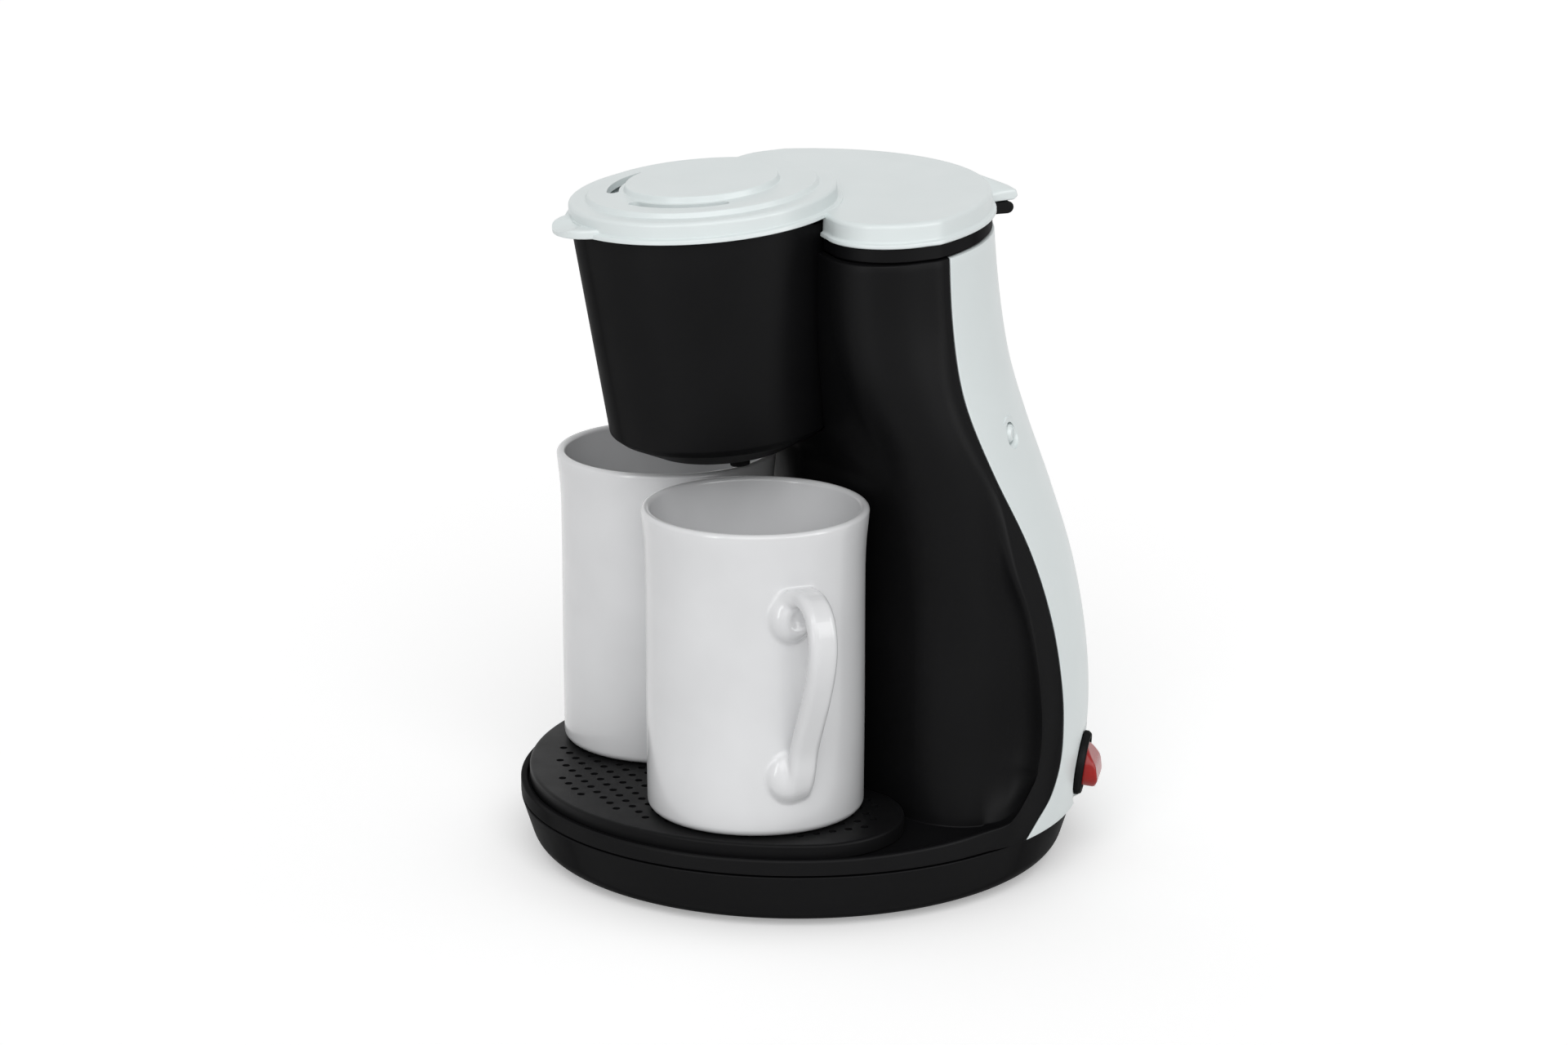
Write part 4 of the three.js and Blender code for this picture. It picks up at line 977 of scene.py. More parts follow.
def build_filter_mesh():
    """The gauze cup that lines the basket."""
    low, high, inset = BASKET_FLOOR + 1.9, -28, 1.9
    return soft_shading(lathed("basket_gauze", [
        (0, low, 0), (basket_radius(low, inset), low, 0.5), (basket_radius(high, inset), high, 0.1),
        (basket_radius(high, inset + 0.6), high, 0.1), (basket_radius(low, inset + 0.7), low + 0.6, 0.5),
        (0, low + 0.6, 0),
    ], 144, leaning), 40)


def steam_slot(start):
    """A curved slot with round ends, cut through the lid's drum."""
    stop, radius, half = start + 62, 26.4, 1.8
    outline = [
        arc((0, 0), radius + half, start, stop, 30)[1:-1],
        arc(arc((0, 0), radius, stop, stop, 1)[0], half, stop, stop + 180, 12),
        arc((0, 0), radius - half, stop, start, 30)[1:-1],
        arc(arc((0, 0), radius, start, start, 1)[0], half, start + 180, start + 360, 12),
    ]
    return prism("slot", np.concatenate(outline), -8, 3, leaning)


def build_lug():
    """The tab that carries the lid over the hinge, falling away from a ridge in its middle."""
    side_view = rounded_path([
        (54, 203.3, 0), (58.2, 199.3, 0), (58.2, LUG_FLOOR, 0.3), (69.0, LUG_FLOOR, 0.3), (70.4, 198.1, 0.5),
        (69.6, 200.7, 0.4), (58.6, 206.2, 1.2), (54, 206, 0),
    ], 4)

    def lug(points):
        x, y, z = np.moveaxis(points, -1, 0)
        half = np.interp(y, [54, 57.5, 61.5, 66, 70.2, 71.4], [9.5, 9.2, 6.1, 5.5, 5.1, 3.9])
        slope = z - (200.2 + 5.7 * (1 - np.sqrt(x**2 + 0.5) / 5.4) * (70.3 - y) / 12)
        profile = smooth_max(inside_outline(y, z, side_view), slope * 0.75, 0.5)
        return smooth_max(profile, np.abs(x) - half, 0.6)

    return moulded("lug", lug, (-10.5, 53, 195.5), (10.5, 72.5, 207.5), 0.3)


def build_lid():
    """The stepped drum over the bucket, the plate over the tank, the front tab and the hinge's lug."""
    lid = lathed("lid_shell", [
        (0, DRUM_FLOOR, 0), (41.5, DRUM_FLOOR, 0.25), (41.3, -8.4, 0.45), (39.9, -8.2, 0.3),
        (39.9, -3.5, 1.3), (34.8, -3.5, 0.35), (34.0, -1.9, 0.5), (23.2, -1.9, 0.35), (22.6, 0, 0.6), (0, 0, 0),
    ], 192, leaning)
    tab = lathed("tab", [
        (0, DRUM_FLOOR, 0), (13.5, DRUM_FLOOR, 0.4), (13.5, -7.0, 0.9), (0, -7.0, 0),
    ], 96, leaning_at(0, -33.5, 0))
    dish = turned_piece("dish", arc((0, 0), 26, -90, 90, 60), 96, leaning_at(0, -47, 17.6))
    carve(tab, carve(dish, rod("keep", 40.4, -12, 8, leaning, 192)))
    plate = plate_slab("plate", [
        (1.0, -PLATE_HEIGHT), (1.3, -6.8), (1.3, -6.2), (1.15, -5.9), (0.8, -5.8), (0.35, -5.75),
        (0.08, -5.5), (0, -5.1), (0, -1.5), (-0.12, -0.85), (-0.45, -0.35), (-0.95, -0.06), (-1.5, 0),
        (-2.2, 0),
    ])
    join(lid, tab, carve(plate, rod("way", 37.5, -40, DRUM_FLOOR - 0.05, leaning, 192, top=40.1)))
    drum_inside = lathed("inside", [
        (0, -16, 0), (38.2, -16, 0), (38.2, -5.6, 0.4), (36.8, -5.5, 0.3), (33.4, -3.9, 0.4), (0, -3.9, 0),
    ], 176, leaning)

    def plate_inside():
        return plate_slab("inside", [(-1.6, -30), (-1.6, -2.4), (-1.9, -2.05), (-2.4, -2.0)])

    carve(lid, drum_inside, plate_inside(), steam_slot(-70), steam_slot(-172))
    plug = lathed("plug", [(35.3, -13.5, 0), (36.8, -13.5, 0.4), (36.8, -5, 0), (35.3, -5, 0)], 176, leaning)
    carve(plug, block("rear", (-60, -10, 180), (60, 40, 230)))
    knuckle = rod("knuckle", HINGE_EYE, -2.2, 2.2, hinge_place, 40)
    web = block("web", (-2.2, HINGE_Y - 1.2, HINGE_Z + 0.5), (2.2, HINGE_Y + 1.2, LUG_FLOOR + 0.4))
    baffle = turned_piece("baffle", [
        (21, -3.5), (22.4, -3.5), (22.4, -5.6), (32.5, -5.6), (32.5, -6.8), (21, -6.8),
    ], 128, leaning)
    join(lid, plug, carve(build_lug(), plate_inside()), knuckle, web, baffle)
    return soft_shading(carve(lid, rod("bore", HINGE_BORE, -9, 9, hinge_place, 32)))


MUG_SPREAD, MUG_Y, MUG_BASE = 36.1, -28.5, 27.0

mug_outside = fair_curve([(0, 32.3), (30, 32.5), (74, 32.55), (82, 32.85), (88, 33.45), (92.5, 33.9)])
mug_inside = fair_curve([(5, 29.2), (30, 29.5), (74, 29.6), (82, 29.95), (88, 30.7), (92.5, 31.3)])
HANDLE_LINE = smooth_route([
    (29, 13.5), (32.8, 14.6), (35.4, 20), (37.6, 28), (42.0, 37), (46.8, 46.5), (50.4, 56), (51.4, 63.5),
    (49.2, 70.6), (43.4, 74.4), (36.4, 74), (30.5, 71),
], 6)


def egg(points, centre, radii):
    """Roughly the distance from an ellipsoid."""
    scaled = (points - np.array(centre)) / np.array(radii)
    reach = np.linalg.norm(scaled, axis=-1)
    return reach * (reach - 1) / np.maximum(np.linalg.norm(scaled / np.array(radii), axis=-1), 1e-6)


def grip_distance(points):
    """Distance from the strap that bows away from the mug, which widens at its upper end."""
    half_thick, soft = 2.6, 2.2
    away, along = path_distance(points[..., 0], points[..., 2], HANDLE_LINE)
    half_wide = 4.2 - 0.7 * (1 - ease(0, 0.1, along)) + 2.4 * ease(0.88, 1, along)
    a = away - (half_thick - soft)
    b = np.abs(points[..., 1]) - (half_wide - soft)
    return np.hypot(np.maximum(a, 0), np.maximum(b, 0)) + np.minimum(np.maximum(a, b), 0) - soft


def handle_distance(points):
    """Distance from the strap with a rolled end against the wall at its top and at its foot."""
    x, y, z = np.moveaxis(points, -1, 0)
    wall = np.hypot(x, y) - mug_outside(z)
    grip = grip_distance(points)
    upper = egg(points, (31.4, -1.8, 67), (5.6, 6.9, 7.8))
    dimple = egg(points, (39.4, -0.6, 67.2), (4.6, 4.0, 4.2))
    upper = smooth_max(upper, -dimple, 1.6)
    lower = egg(points, (31.2, -2.2, 18.4), (5.0, 7.0, 8.0))
    grip = smooth_min(grip, smooth_min(upper, lower, 0.1), 1.3)
    skin = smooth_min(wall + 0.04, grip, 1.5)
    skin = smooth_max(skin, mug_outside(z) - 1.6 - np.hypot(x, y), 0.05)
    ends = np.maximum(np.abs(y) - 10.4, np.maximum(np.abs(z - 43) - 36, 26 - x))
    return np.maximum(skin, ends)


def mug_body(name):
    """A slim mug that flares a little under its round lip."""
    heights = np.linspace(9, 88, 24)
    base = rounded_path([(0, 1.2, 0), (26.2, 1.2, 0.8), (27.2, 0, 0.7), (32.3, 0, 3.4), (32.36, 8, 0)], 8)
    lip = arc((float(mug_outside(91) + mug_inside(91)) / 2, 91.1), 1.32, 0, 180, 14)
    floor = rounded_path([(29.25, 14, 0), (29.2, 5.2, 6.5), (0, 5.2, 0)], 10)
    down = heights[::-1][:-2]
    outside, inside = np.stack([mug_outside(heights), heights], 1), np.stack([mug_inside(down), down], 1)
    return turned_piece(name, np.concatenate([base, outside, lip, inside, floor]), 160)


def build_mug(side):
    """A mug on its side of the tray, with its handle turned outwards."""
    piece = mug_body("coffee_mug_right" if side > 0 else "coffee_mug_left")
    join(piece, moulded("handle", handle_distance, (25, -11, 6), (56, 11, 80), 0.5))
    reshape(piece, lambda points: points * [side, side, 1] + [side * MUG_SPREAD, MUG_Y, MUG_BASE])
    return soft_shading(piece, 50)


def build_switch_bezel():
    """The round surround that the rocker sits in, with its back and two terminals."""
    place = moved(SWITCH_PLACE)
    piece = lathed("switch_surround", [
        (7.7, -12, 0), (8.9, -12, 0), (8.9, -0.7, 0.1), (9.9, -0.7, 0.1), (9.9, 0.5, 0.6), (9.2, 1.5, 0.5),
        (7.8, 1.5, 0.3), (7.7, 1.1, 0.1),
    ], 96, place)
    tabs = [block("tab", (x - 0.5, -2.4, -19), (x + 0.5, 2.4, -12), place) for x in (-3.8, 3.8)]
    return soft_shading(join(piece, rod("back", 8.5, -14, -11.5, place, 64), *tabs))


def build_switch_rocker():
    """The red rocker: one outline seen from its side, inside a round one seen from the front."""
    outline = rounded_path([
        (-6.4, 0, 0), (-6, -4, 0), (0, -6.3, 1), (6, -4, 0.5), (6.3, 1.6, 0.5), (1.6, 5.4, 6), (-3.0, 6.6, 4),
        (-6.1, 5.7, 1.2), (-6.4, 1.0, 0.5), (-6.4, 0, 0),
    ], 5)

    def shape(points):
        x, y, z = np.moveaxis(points, -1, 0)
        round_side = np.hypot(x, y) - (6.3 + 0.7 * ease(-2.2, -1.2, z))
        return smooth_max(inside_outline(y, z, outline), round_side, 0.9)

    piece = moulded("rocker", shape, (-7.3, -7.3, -6.8), (7.3, 7.3, 6.4), 0.28)
    return right_way_out(reshape(piece, lambda points: moved(SWITCH_PLACE)(points - [0, 0, 0.5])))


def build_gland():
    """The bush that the cord passes through."""
    return soft_shading(lathed("cord_bush", [
        (3.4, -7, 0), (5, -7, 0), (4.9, 0.3, 0.1), (6.8, 0.3, 0.15), (6.8, 1.2, 0.4), (5.2, 3.4, 0.4),
        (3.4, 3.4, 0.3),
    ], 72, moved(GLAND_PLACE)))


def build_hinge_pin():
    """The headed pin through the ears and the lid's knuckle."""
    return soft_shading(lathed("lid_pin", [
        (0, -6.2, 0), (1.5, -6.2, 0.2), (1.5, -5.9, 0), (0.8, -5.9, 0), (0.8, 5.2, 0.15), (0, 5.2, 0),
    ], 32, hinge_place))


def across(name, outline, half):
    """An outline in Y and Z carried across the width."""
    return prism(name, outline, -half, half, lambda points: points[:, [2, 0, 1]])


def tank_column(inset, low, high, half):
    """A stretch of the tower's form, drawn in by an inset and no wider than twice a half width."""
    rings = []
    for z in np.linspace(low, high, 18):
        ring = mirrored(tower_outline(z, inset, 30, 0.1))
        ring[:, 0] = np.clip(ring[:, 0], -half, half)
        rings.append(under_the_lid(ring, z))
    return solid("tank_body", ring_solid(rings))


def tank_form(inset, step, floor):
    """The tank's form: the tower's whole width above a step, and a narrow sump below it."""
    form = tank_column(inset, step, NECK_Z + 1, 90)
    return carve(join(form, tank_column(inset, floor, step + 4, 37 - inset)), bucket_cone(inset))


def build_hinge_ears():
    """Two ears behind the collar, one of them blind, with a slot for the lid's knuckle."""
    ears = across("ears", rounded_path([
        (54, 195.2, 0), (58.8, 195.2, 0.4), (58.9, 193.2, 0.4), (HINGE_Y, 193.1, 0), (HINGE_Y, 196.7, 0),
        (57.3, 196.7, 0.3), (57, 198, 0), (54, 198, 0),
    ]), 20)
    plan = rounded_path([
        (9, 54, 0), (9, 58.5, 1.5), (5.8, 62, 2), (5.6, 70, 0), (-5.6, 70, 0), (-5.8, 62, 2), (-9, 58.5, 1.5),
        (-9, 54, 0),
    ])
    carve(ears, prism("plan", plan, 185, 205), operation="INTERSECT")
    join(ears, lathed("eye", [
        (0, -5.6, 0), (HINGE_EYE, -5.6, 0.3), (HINGE_EYE, 5.6, 0.3), (0, 5.6, 0),
    ], 48, hinge_place))
    slot = block("slot", (-2.6, HINGE_Y - 3.4, 185), (2.6, HINGE_Y + 5, 205))
    return carve(ears, slot, rod("bore", HINGE_BORE, -9, 5.3, hinge_place, 32))


def build_water_tank():
    """The tank inside the tower, with the collar under the lid and the ears of the hinge."""
    collar = plate_slab("collar", [
        (-0.4, -11.6), (0, -11.2), (0, -7.4), (-2.3, -7.4), (-2.3, -4.9), (-2.5, -4.7),
    ])
    well = carve(plate_slab("well", [(-5.5, -12.9), (-5.5, 2)]), bucket_cone(2.9))
    tank = join(tank_form(TANK_INSET, TANK_STEP, TANK_FLOOR), carve(collar, bucket_cone(0.9)))
    hollow = tank_form(TANK_INSET + TANK_WALL, TANK_STEP + TANK_WALL, TANK_FLOOR + TANK_WALL)
    carve(tank, hollow, well, block("gap", (-30, -30, 196.4), (30, 16, 230)))
    riser, outlet = standing_at(0, 22), standing_at(20, 32)
    join(tank, rod("chimney", 6.4, TANK_FLOOR, 190, riser), rod("spigot", 3.4, 116, 126, outlet))
    carve(tank, rod("bore", 4.8, 120, 200, riser), rod("bore", 2, 113, 129, outlet))
    return soft_shading(join(tank, build_hinge_ears()))


def build_cup_grid():
    """The tray's plate with a round upper edge, still without holes and ribs."""
    layers = [(0.35, 22.0), (0.08, 22.1), (0, 22.35), (0, 25.8), (0.12, 26.25), (0.4, 26.55), (0.8, 26.68),
              (1.2, 26.7), (2.0, 26.7)]
    return carve(layered("cup_tray", tray_outline, layers), prism("under", tray_outline(1.8), 20, 24.9))


def tray_ribs():
    """Five ribs under the tray, from front to back."""
    ribs = []
    for x, rear in ((-48, 7.0), (-24, -1.0), (0, -1.0), (24, -1.0), (48, 7.0)):
        front = -math.sqrt((TRAY_RADIUS - 1.8) ** 2 - x**2)
        ribs.append(block("rib", (x - 0.7, front, 22.7), (x + 0.7, rear, 25.2)))
    return ribs


def pan_head_screw(name, length):
    """A slotted screw with its head at the origin, pointing up."""
    screw = lathed(name, [
        (0, -2.0, 0), (1.9, -2.0, 0.7), (2.8, -1.0, 0.5), (2.8, 0, 0.1), (1.4, 0, 0), (1.4, length, 0.3),
        (0, length + 0.9, 0),
    ], 32, steps=4)
    return soft_shading(carve(screw, block("slot", (-0.42, -3, -3), (0.42, 3, -1.15))))


def foot_pad():
    corners = [(0, 0, 0), (5.6, 0, 0.8), (6.4, 0.9, 0.6), (6.4, 3.1, 0.3), (0, 3.1, 0)]
    return soft_shading(lathed("feet", corners, 64))


# ------------------------------------------------------------------ geometry nodes


def add_node(tree, kind, values=None, **settings):
    """Adds a node. Values are numbers, vectors or sockets, by input name or place."""
    node = tree.nodes.new(kind)
    for key, value in settings.items():
        setattr(node, key, value)
    for key, value in (values or {}).items():
        if isinstance(value, bpy.types.NodeSocket):
            tree.links.new(value, node.inputs[key])
        else:
            node.inputs[key].default_value = value
    return node


class Tree:
    """A geometry node tree under construction, with its inputs listed by kind."""

    def __init__(self, name, **inputs):
        self.group = bpy.data.node_groups.new(name, "GeometryNodeTree")
        face = self.group.interface
        for way in ("OUTPUT", "INPUT"):
            face.new_socket("Geometry", in_out=way, socket_type="NodeSocketGeometry")
        for kind, labels in {**inputs, "Material": ("Material",)}.items():
            for label in labels:
                face.new_socket(label, in_out="INPUT", socket_type=f"NodeSocket{kind}")
        self.given = self.group.nodes.new("NodeGroupInput").outputs
        self.result = self.group.nodes.new("NodeGroupOutput")

    def add(self, kind, values=None, **settings):
        return add_node(self.group, kind, values, **settings).outputs[0]

    def math(self, operation, a, b=0.0):
        return self.add("ShaderNodeMath", {0: a, 1: b}, operation=operation)

    def times(self, a, b):
        return self.math("MULTIPLY", a, b)

    def over(self, a, b):
        """One where a is greater than b, and otherwise nothing."""
        return self.math("GREATER_THAN", a, b)

    def vector(self, x, y=0.0, z=0.0):
        return self.add("ShaderNodeCombineXYZ", {"X": x, "Y": y, "Z": z})

    def vector_math(self, operation, a, b):
        return self.add("ShaderNodeVectorMath", {0: a, 1: b}, operation=operation)

    def parts(self, vector):
        return add_node(self.group, "ShaderNodeSeparateXYZ", {0: vector}).outputs

    def distance(self, a, b):
        node = add_node(self.group, "ShaderNodeVectorMath", {0: a, 1: b}, operation="DISTANCE")
        return node.outputs["Value"]

    def copies(self, points, piece, **more):
        return self.add("GeometryNodeInstanceOnPoints", {"Points": points, "Instance": piece, **more})

    def cut(self, cutters):
        """Takes copies of a cutter out of the piece that the tree is given."""
        node = add_node(self.group, "GeometryNodeMeshBoolean", {"Mesh 1": self.given["Geometry"]},
                        operation="DIFFERENCE", solver="MANIFOLD")
        real = self.add("GeometryNodeRealizeInstances", {"Geometry": cutters})
        self.group.links.new(real, node.inputs["Mesh 2"])
        return self.finish(node.outputs["Mesh"])

    def finish(self, geometry):
        real = self.add("GeometryNodeRealizeInstances", {"Geometry": geometry})
        painted = self.add("GeometryNodeSetMaterial", {"Geometry": real, "Material": self.given["Material"]})
        self.group.links.new(painted, self.result.inputs[0])
        return self.group


def run_tree(piece, group, material, **values):
    """Runs a tree on a piece with its inputs given by name, and keeps the plain result."""
    step = piece.modifiers.new(group.name, "NODES")
    step.node_group = group
    wanted = {"Material": finish_of(material)}
    wanted.update((key.replace("_", " ").title(), value) for key, value in values.items())
    for item in group.interface.items_tree:
        if item.in_out == "INPUT" and item.name in wanted:
            step[item.identifier] = wanted.pop(item.name)
    if wanted:
        raise RuntimeError(f"{group.name} has no input named {sorted(wanted)}")
    return settle(piece)


def perforation_tree():
    """Round holes on a square grid, kept inside the tray's margin."""
    tree = Tree(
        "Tray Perforations", Int=("Columns", "Rows"),
        Float=("Pitch Across", "Pitch Along", "Hole Diameter", "Depth", "Round Reach", "Rear Reach",
               "Corner Reach"),
        Vector=("Field Centre", "Round Centre", "Rear Centre", "Corner Centre"),
    )
    s = tree.given
    wide = tree.times(tree.math("SUBTRACT", s["Columns"], 1.0), s["Pitch Across"])
    deep = tree.times(tree.math("SUBTRACT", s["Rows"], 1.0), s["Pitch Along"])
    grid = tree.add("GeometryNodeMeshGrid", {
        "Size X": wide, "Size Y": deep, "Vertices X": s["Columns"], "Vertices Y": s["Rows"],
    })
    points = tree.add("GeometryNodeMeshToPoints", {"Mesh": grid})
    placed = tree.add("GeometryNodeSetPosition", {"Geometry": points, "Offset": s["Field Centre"]})
    position = tree.add("GeometryNodeInputPosition")
    x, y, z = tree.parts(position)
    corner_x, corner_y, _ = tree.parts(s["Corner Centre"])
    x = tree.math("ABSOLUTE", x)
    past_round = tree.over(tree.distance(position, s["Round Centre"]), s["Round Reach"])
    past_rear = tree.over(s["Rear Reach"], tree.distance(position, s["Rear Centre"]))
    beside = tree.times(tree.over(x, corner_x), tree.over(y, corner_y))
    past_corner = tree.over(tree.distance(tree.vector(x, y, z), s["Corner Centre"]), s["Corner Reach"])
    past = tree.math("ADD", tree.math("ADD", past_round, past_rear), tree.times(beside, past_corner))
    kept = tree.add("GeometryNodeDeleteGeometry", {"Geometry": placed, "Selection": tree.over(past, 0.5)})
    punch = tree.add("GeometryNodeMeshCylinder", {
        "Vertices": 18, "Radius": tree.times(s["Hole Diameter"], 0.5), "Depth": s["Depth"],
    })
    return tree.cut(tree.copies(kept, punch))


def rounded_punch(tree, width, length, corner, depth):
    """A closed cutter with a rounded outline, standing on XY and as deep as asked."""
    outline = tree.add("GeometryNodeCurvePrimitiveQuadrilateral", {"Width": width, "Height": length})
    filleted = tree.add("GeometryNodeFilletCurve", {"Curve": outline, "Radius": corner, "Count": 6},
                        mode="POLY")
    face = tree.add("GeometryNodeFillCurve", {"Curve": filleted}, mode="NGONS")
    raised = tree.add("GeometryNodeExtrudeMesh", {
        "Mesh": face, "Offset": tree.vector(0.0, 0.0, 1.0), "Offset Scale": depth, "Individual": False,
    })
    both = add_node(tree.group, "GeometryNodeJoinGeometry")
    for half in (tree.add("GeometryNodeFlipFaces", {"Mesh": face}), raised):
        tree.group.links.new(half, both.inputs[0])
    return tree.add("GeometryNodeMergeByDistance", {"Geometry": both.outputs[0], "Distance": 1e-6})


def slot_row_tree():
    """A row of round-ended slots through a floor."""
    tree = Tree("Vent Slots", Int=("Count",), Float=("Pitch", "Slot Width", "Slot Length", "Depth"),
                Vector=("Row Centre",))
    s = tree.given
    corner = tree.times(s["Slot Width"], 0.49)
    punch = rounded_punch(tree, s["Slot Width"], s["Slot Length"], corner, s["Depth"])
    back = tree.times(tree.times(tree.math("SUBTRACT", s["Count"], 1.0), s["Pitch"]), -0.5)
    line = tree.add("GeometryNodeMeshLine", {
        "Count": s["Count"], "Start Location": tree.vector_math("ADD", s["Row Centre"], tree.vector(back)),
        "Offset": tree.vector(s["Pitch"]),
    })
    return tree.cut(tree.copies(line, punch))


def window_ring_tree():
    """Rounded windows round a standing wall."""
    tree = Tree(
        "Basket Windows", Int=("Count",), Vector=("Axis Foot",),
        Float=("Window Width", "Window Height", "Corner", "Reach", "Depth", "Middle Height"),
    )
    s = tree.given
    punch = rounded_punch(tree, s["Window Width"], s["Window Height"], s["Corner"], s["Depth"])
    step = tree.math("DIVIDE", 2 * math.pi, s["Count"])
    angle = tree.times(tree.math("ADD", tree.add("GeometryNodeInputIndex"), 0.5), step)
    x, y = (tree.times(tree.math(which, angle), s["Reach"]) for which in ("COSINE", "SINE"))
    place = tree.vector_math("ADD", tree.vector(x, y, s["Middle Height"]), s["Axis Foot"])
    points = tree.add("GeometryNodePoints", {"Count": s["Count"], "Position": place})
    turn = tree.vector(math.pi / 2, 0.0, tree.math("ADD", angle, math.pi / 2))
    return tree.cut(tree.copies(points, punch, Rotation=turn))


def four_corner_tree():
    """Stands a piece at two mirrored pairs of places."""
    tree = Tree("Four Corners", Vector=("Front Place", "Rear Place"))
    index = tree.add("GeometryNodeInputIndex")
    sign = tree.math("SUBTRACT", 1.0, tree.times(tree.math("MODULO", index, 2.0), 2.0))
    place = tree.add("GeometryNodeSwitch", {
        "Switch": tree.over(index, 1.5), "False": tree.given["Front Place"], "True": tree.given["Rear Place"],
    }, input_type="VECTOR")
    spread = tree.vector_math("MULTIPLY", place, tree.vector(sign, 1.0, 1.0))
    points = tree.add("GeometryNodePoints", {"Count": 4, "Position": spread})
    return tree.finish(tree.copies(points, tree.given["Geometry"]))


def turned_pair_tree():
    """Turns a piece to both sides about a standing axis."""
    tree = Tree("Turned Pair", Vector=("Axis Foot",), Float=("Turn",))
    sign = tree.math("SUBTRACT", 1.0, tree.times(tree.add("GeometryNodeInputIndex"), 2.0))
    points = tree.add("GeometryNodePoints", {"Count": 2, "Position": tree.given["Axis Foot"]})
    turn = tree.vector(0.0, 0.0, tree.times(sign, tree.given["Turn"]))
    return tree.finish(tree.copies(points, tree.given["Geometry"], Rotation=turn))


# ------------------------------------------------------------------ finishes


class Finish:
    """A material under construction, read from object coordinates."""

    def __init__(self, name, **sockets):
        self.material = bpy.data.materials.new(name)
        self.material.use_nodes = True
        self.tree = self.material.node_tree
        self.surface = self.tree.nodes["Principled BSDF"]
        self.place = self.tree.nodes.new("ShaderNodeTexCoord").outputs["Object"]
        for label, value in sockets.items():
            self.surface.inputs[label.replace("_", " ")].default_value = value

    def add(self, kind, values=None, **settings):
        return add_node(self.tree, kind, values, **settings)

    def clouds(self, size, detail, stretch=(1, 1, 1), rough=0.5):
        """Soft noise whose features are about a size in metres."""
        place = self.place
        if stretch != (1, 1, 1):
            place = self.add("ShaderNodeMapping", {"Vector": place, "Scale": stretch}).outputs[0]
        return self.add("ShaderNodeTexNoise", {
            "Vector": place, "Scale": 1 / size, "Detail": detail, "Roughness": rough,
        }).outputs["Fac"]

    def between(self, value, low, high, start=0.3, stop=0.7):
        return self.add("ShaderNodeMapRange", {
            "Value": value, "From Min": start, "From Max": stop, "To Min": low, "To Max": high,
        }).outputs[0]

    def shades(self, value, low, high, start=0.3, stop=0.7):
        """A colour ramp between two colours."""
        ramp = self.add("ShaderNodeValToRGB", {"Fac": value})
        ramp.color_ramp.elements[0].position = start
        ramp.color_ramp.elements[1].position = stop
        ramp.color_ramp.elements[0].color = (*low, 1)
        ramp.color_ramp.elements[1].color = (*high, 1)
        return ramp.outputs[0]

    def link(self, output, label):
        self.tree.links.new(output, self.surface.inputs[label])

    def tint(self, value, colour, low, high):
        """Varies a colour between two multiples of itself."""
        self.link(self.shades(value, tinted(colour, low), tinted(colour, high)), "Base Color")

    def wear(self, value, middle, below, above):
        """Varies the roughness about a middle value, which stays on the socket."""
        self.surface.inputs["Roughness"].default_value = middle
        self.link(self.between(value, middle - below, middle + above), "Roughness")

    def grain(self, height, distance, strength=1.0):
        """Raises the surface by a height map, over a distance in metres."""
        bump = self.add("ShaderNodeBump", {"Height": height, "Distance": distance, "Strength": strength})
        self.link(bump.outputs[0], "Normal")


def tinted(colour, factor):
    return tuple(min(1.0, c * factor) for c in colour)


def moulded_plastic(name, colour, roughness, specular, texture=0.00045, depth=0.000012, spread=0.12,
                    fade=None):
    """Plastic with a fine grain. Where it is seen edge on, a fade takes over from the specular level."""
    look = Finish(name, Specular_IOR_Level=specular)
    if fade is not None:
        facing = look.add("ShaderNodeLayerWeight").outputs["Facing"]
        look.link(look.between(facing, specular, fade, 0.15, 0.6), "Specular IOR Level")
    look.tint(look.clouds(0.03, 3), colour, 1 - spread, 1 + spread)
    look.wear(look.clouds(0.012, 4, rough=0.6), roughness, 0.035, 0.035)
    look.grain(look.clouds(texture, 2), depth)
    return look.material


def glazed(name, colour):
    """A glaze that pools a little and is nearly smooth."""
    look = Finish(name, Specular_IOR_Level=0.4, Coat_Weight=0.12, Coat_Roughness=0.06)
    look.tint(look.clouds(0.02, 2), colour, 0.97, 1.02)
    look.wear(look.clouds(0.006, 3), 0.22, 0.03, 0.03)
    look.grain(look.clouds(0.011, 1), 0.00006, 0.5)
    return look.material


def lens_plastic(name, colour):
    """A deep, glossy plastic."""
    look = Finish(name, Roughness=0.22, Specular_IOR_Level=0.25, Coat_Weight=0.08, Coat_Roughness=0.1)
    look.tint(look.clouds(0.004, 3), colour, 0.9, 1.08)
    look.grain(look.clouds(0.0006, 2), 0.000008)
    return look.material


def drawn_metal(name, colour, roughness):
    """Metal with fine lines across its height."""
    look = Finish(name, Metallic=1.0)
    lines = look.clouds(0.0012, 4, (1, 1, 12), 0.65)
    look.tint(lines, colour, 0.9, 1.06)
    look.wear(look.clouds(0.003, 3), roughness, 0.06, 0.08)
    look.grain(lines, 0.00001)
    return look.material


def rubbery(name, colour, roughness, translucent=0.0):
    """A soft, matt and slightly dusty surface."""
    look = Finish(name, Specular_IOR_Level=0.35, Subsurface_Weight=translucent, Subsurface_Scale=0.003)
    look.tint(look.clouds(0.004, 4, rough=0.65), colour, 0.88, 1.14)
    look.wear(look.clouds(0.0015, 2), roughness, 0.06, 0.06)
    look.grain(look.clouds(0.0004, 3), 0.00003)
    return look.material


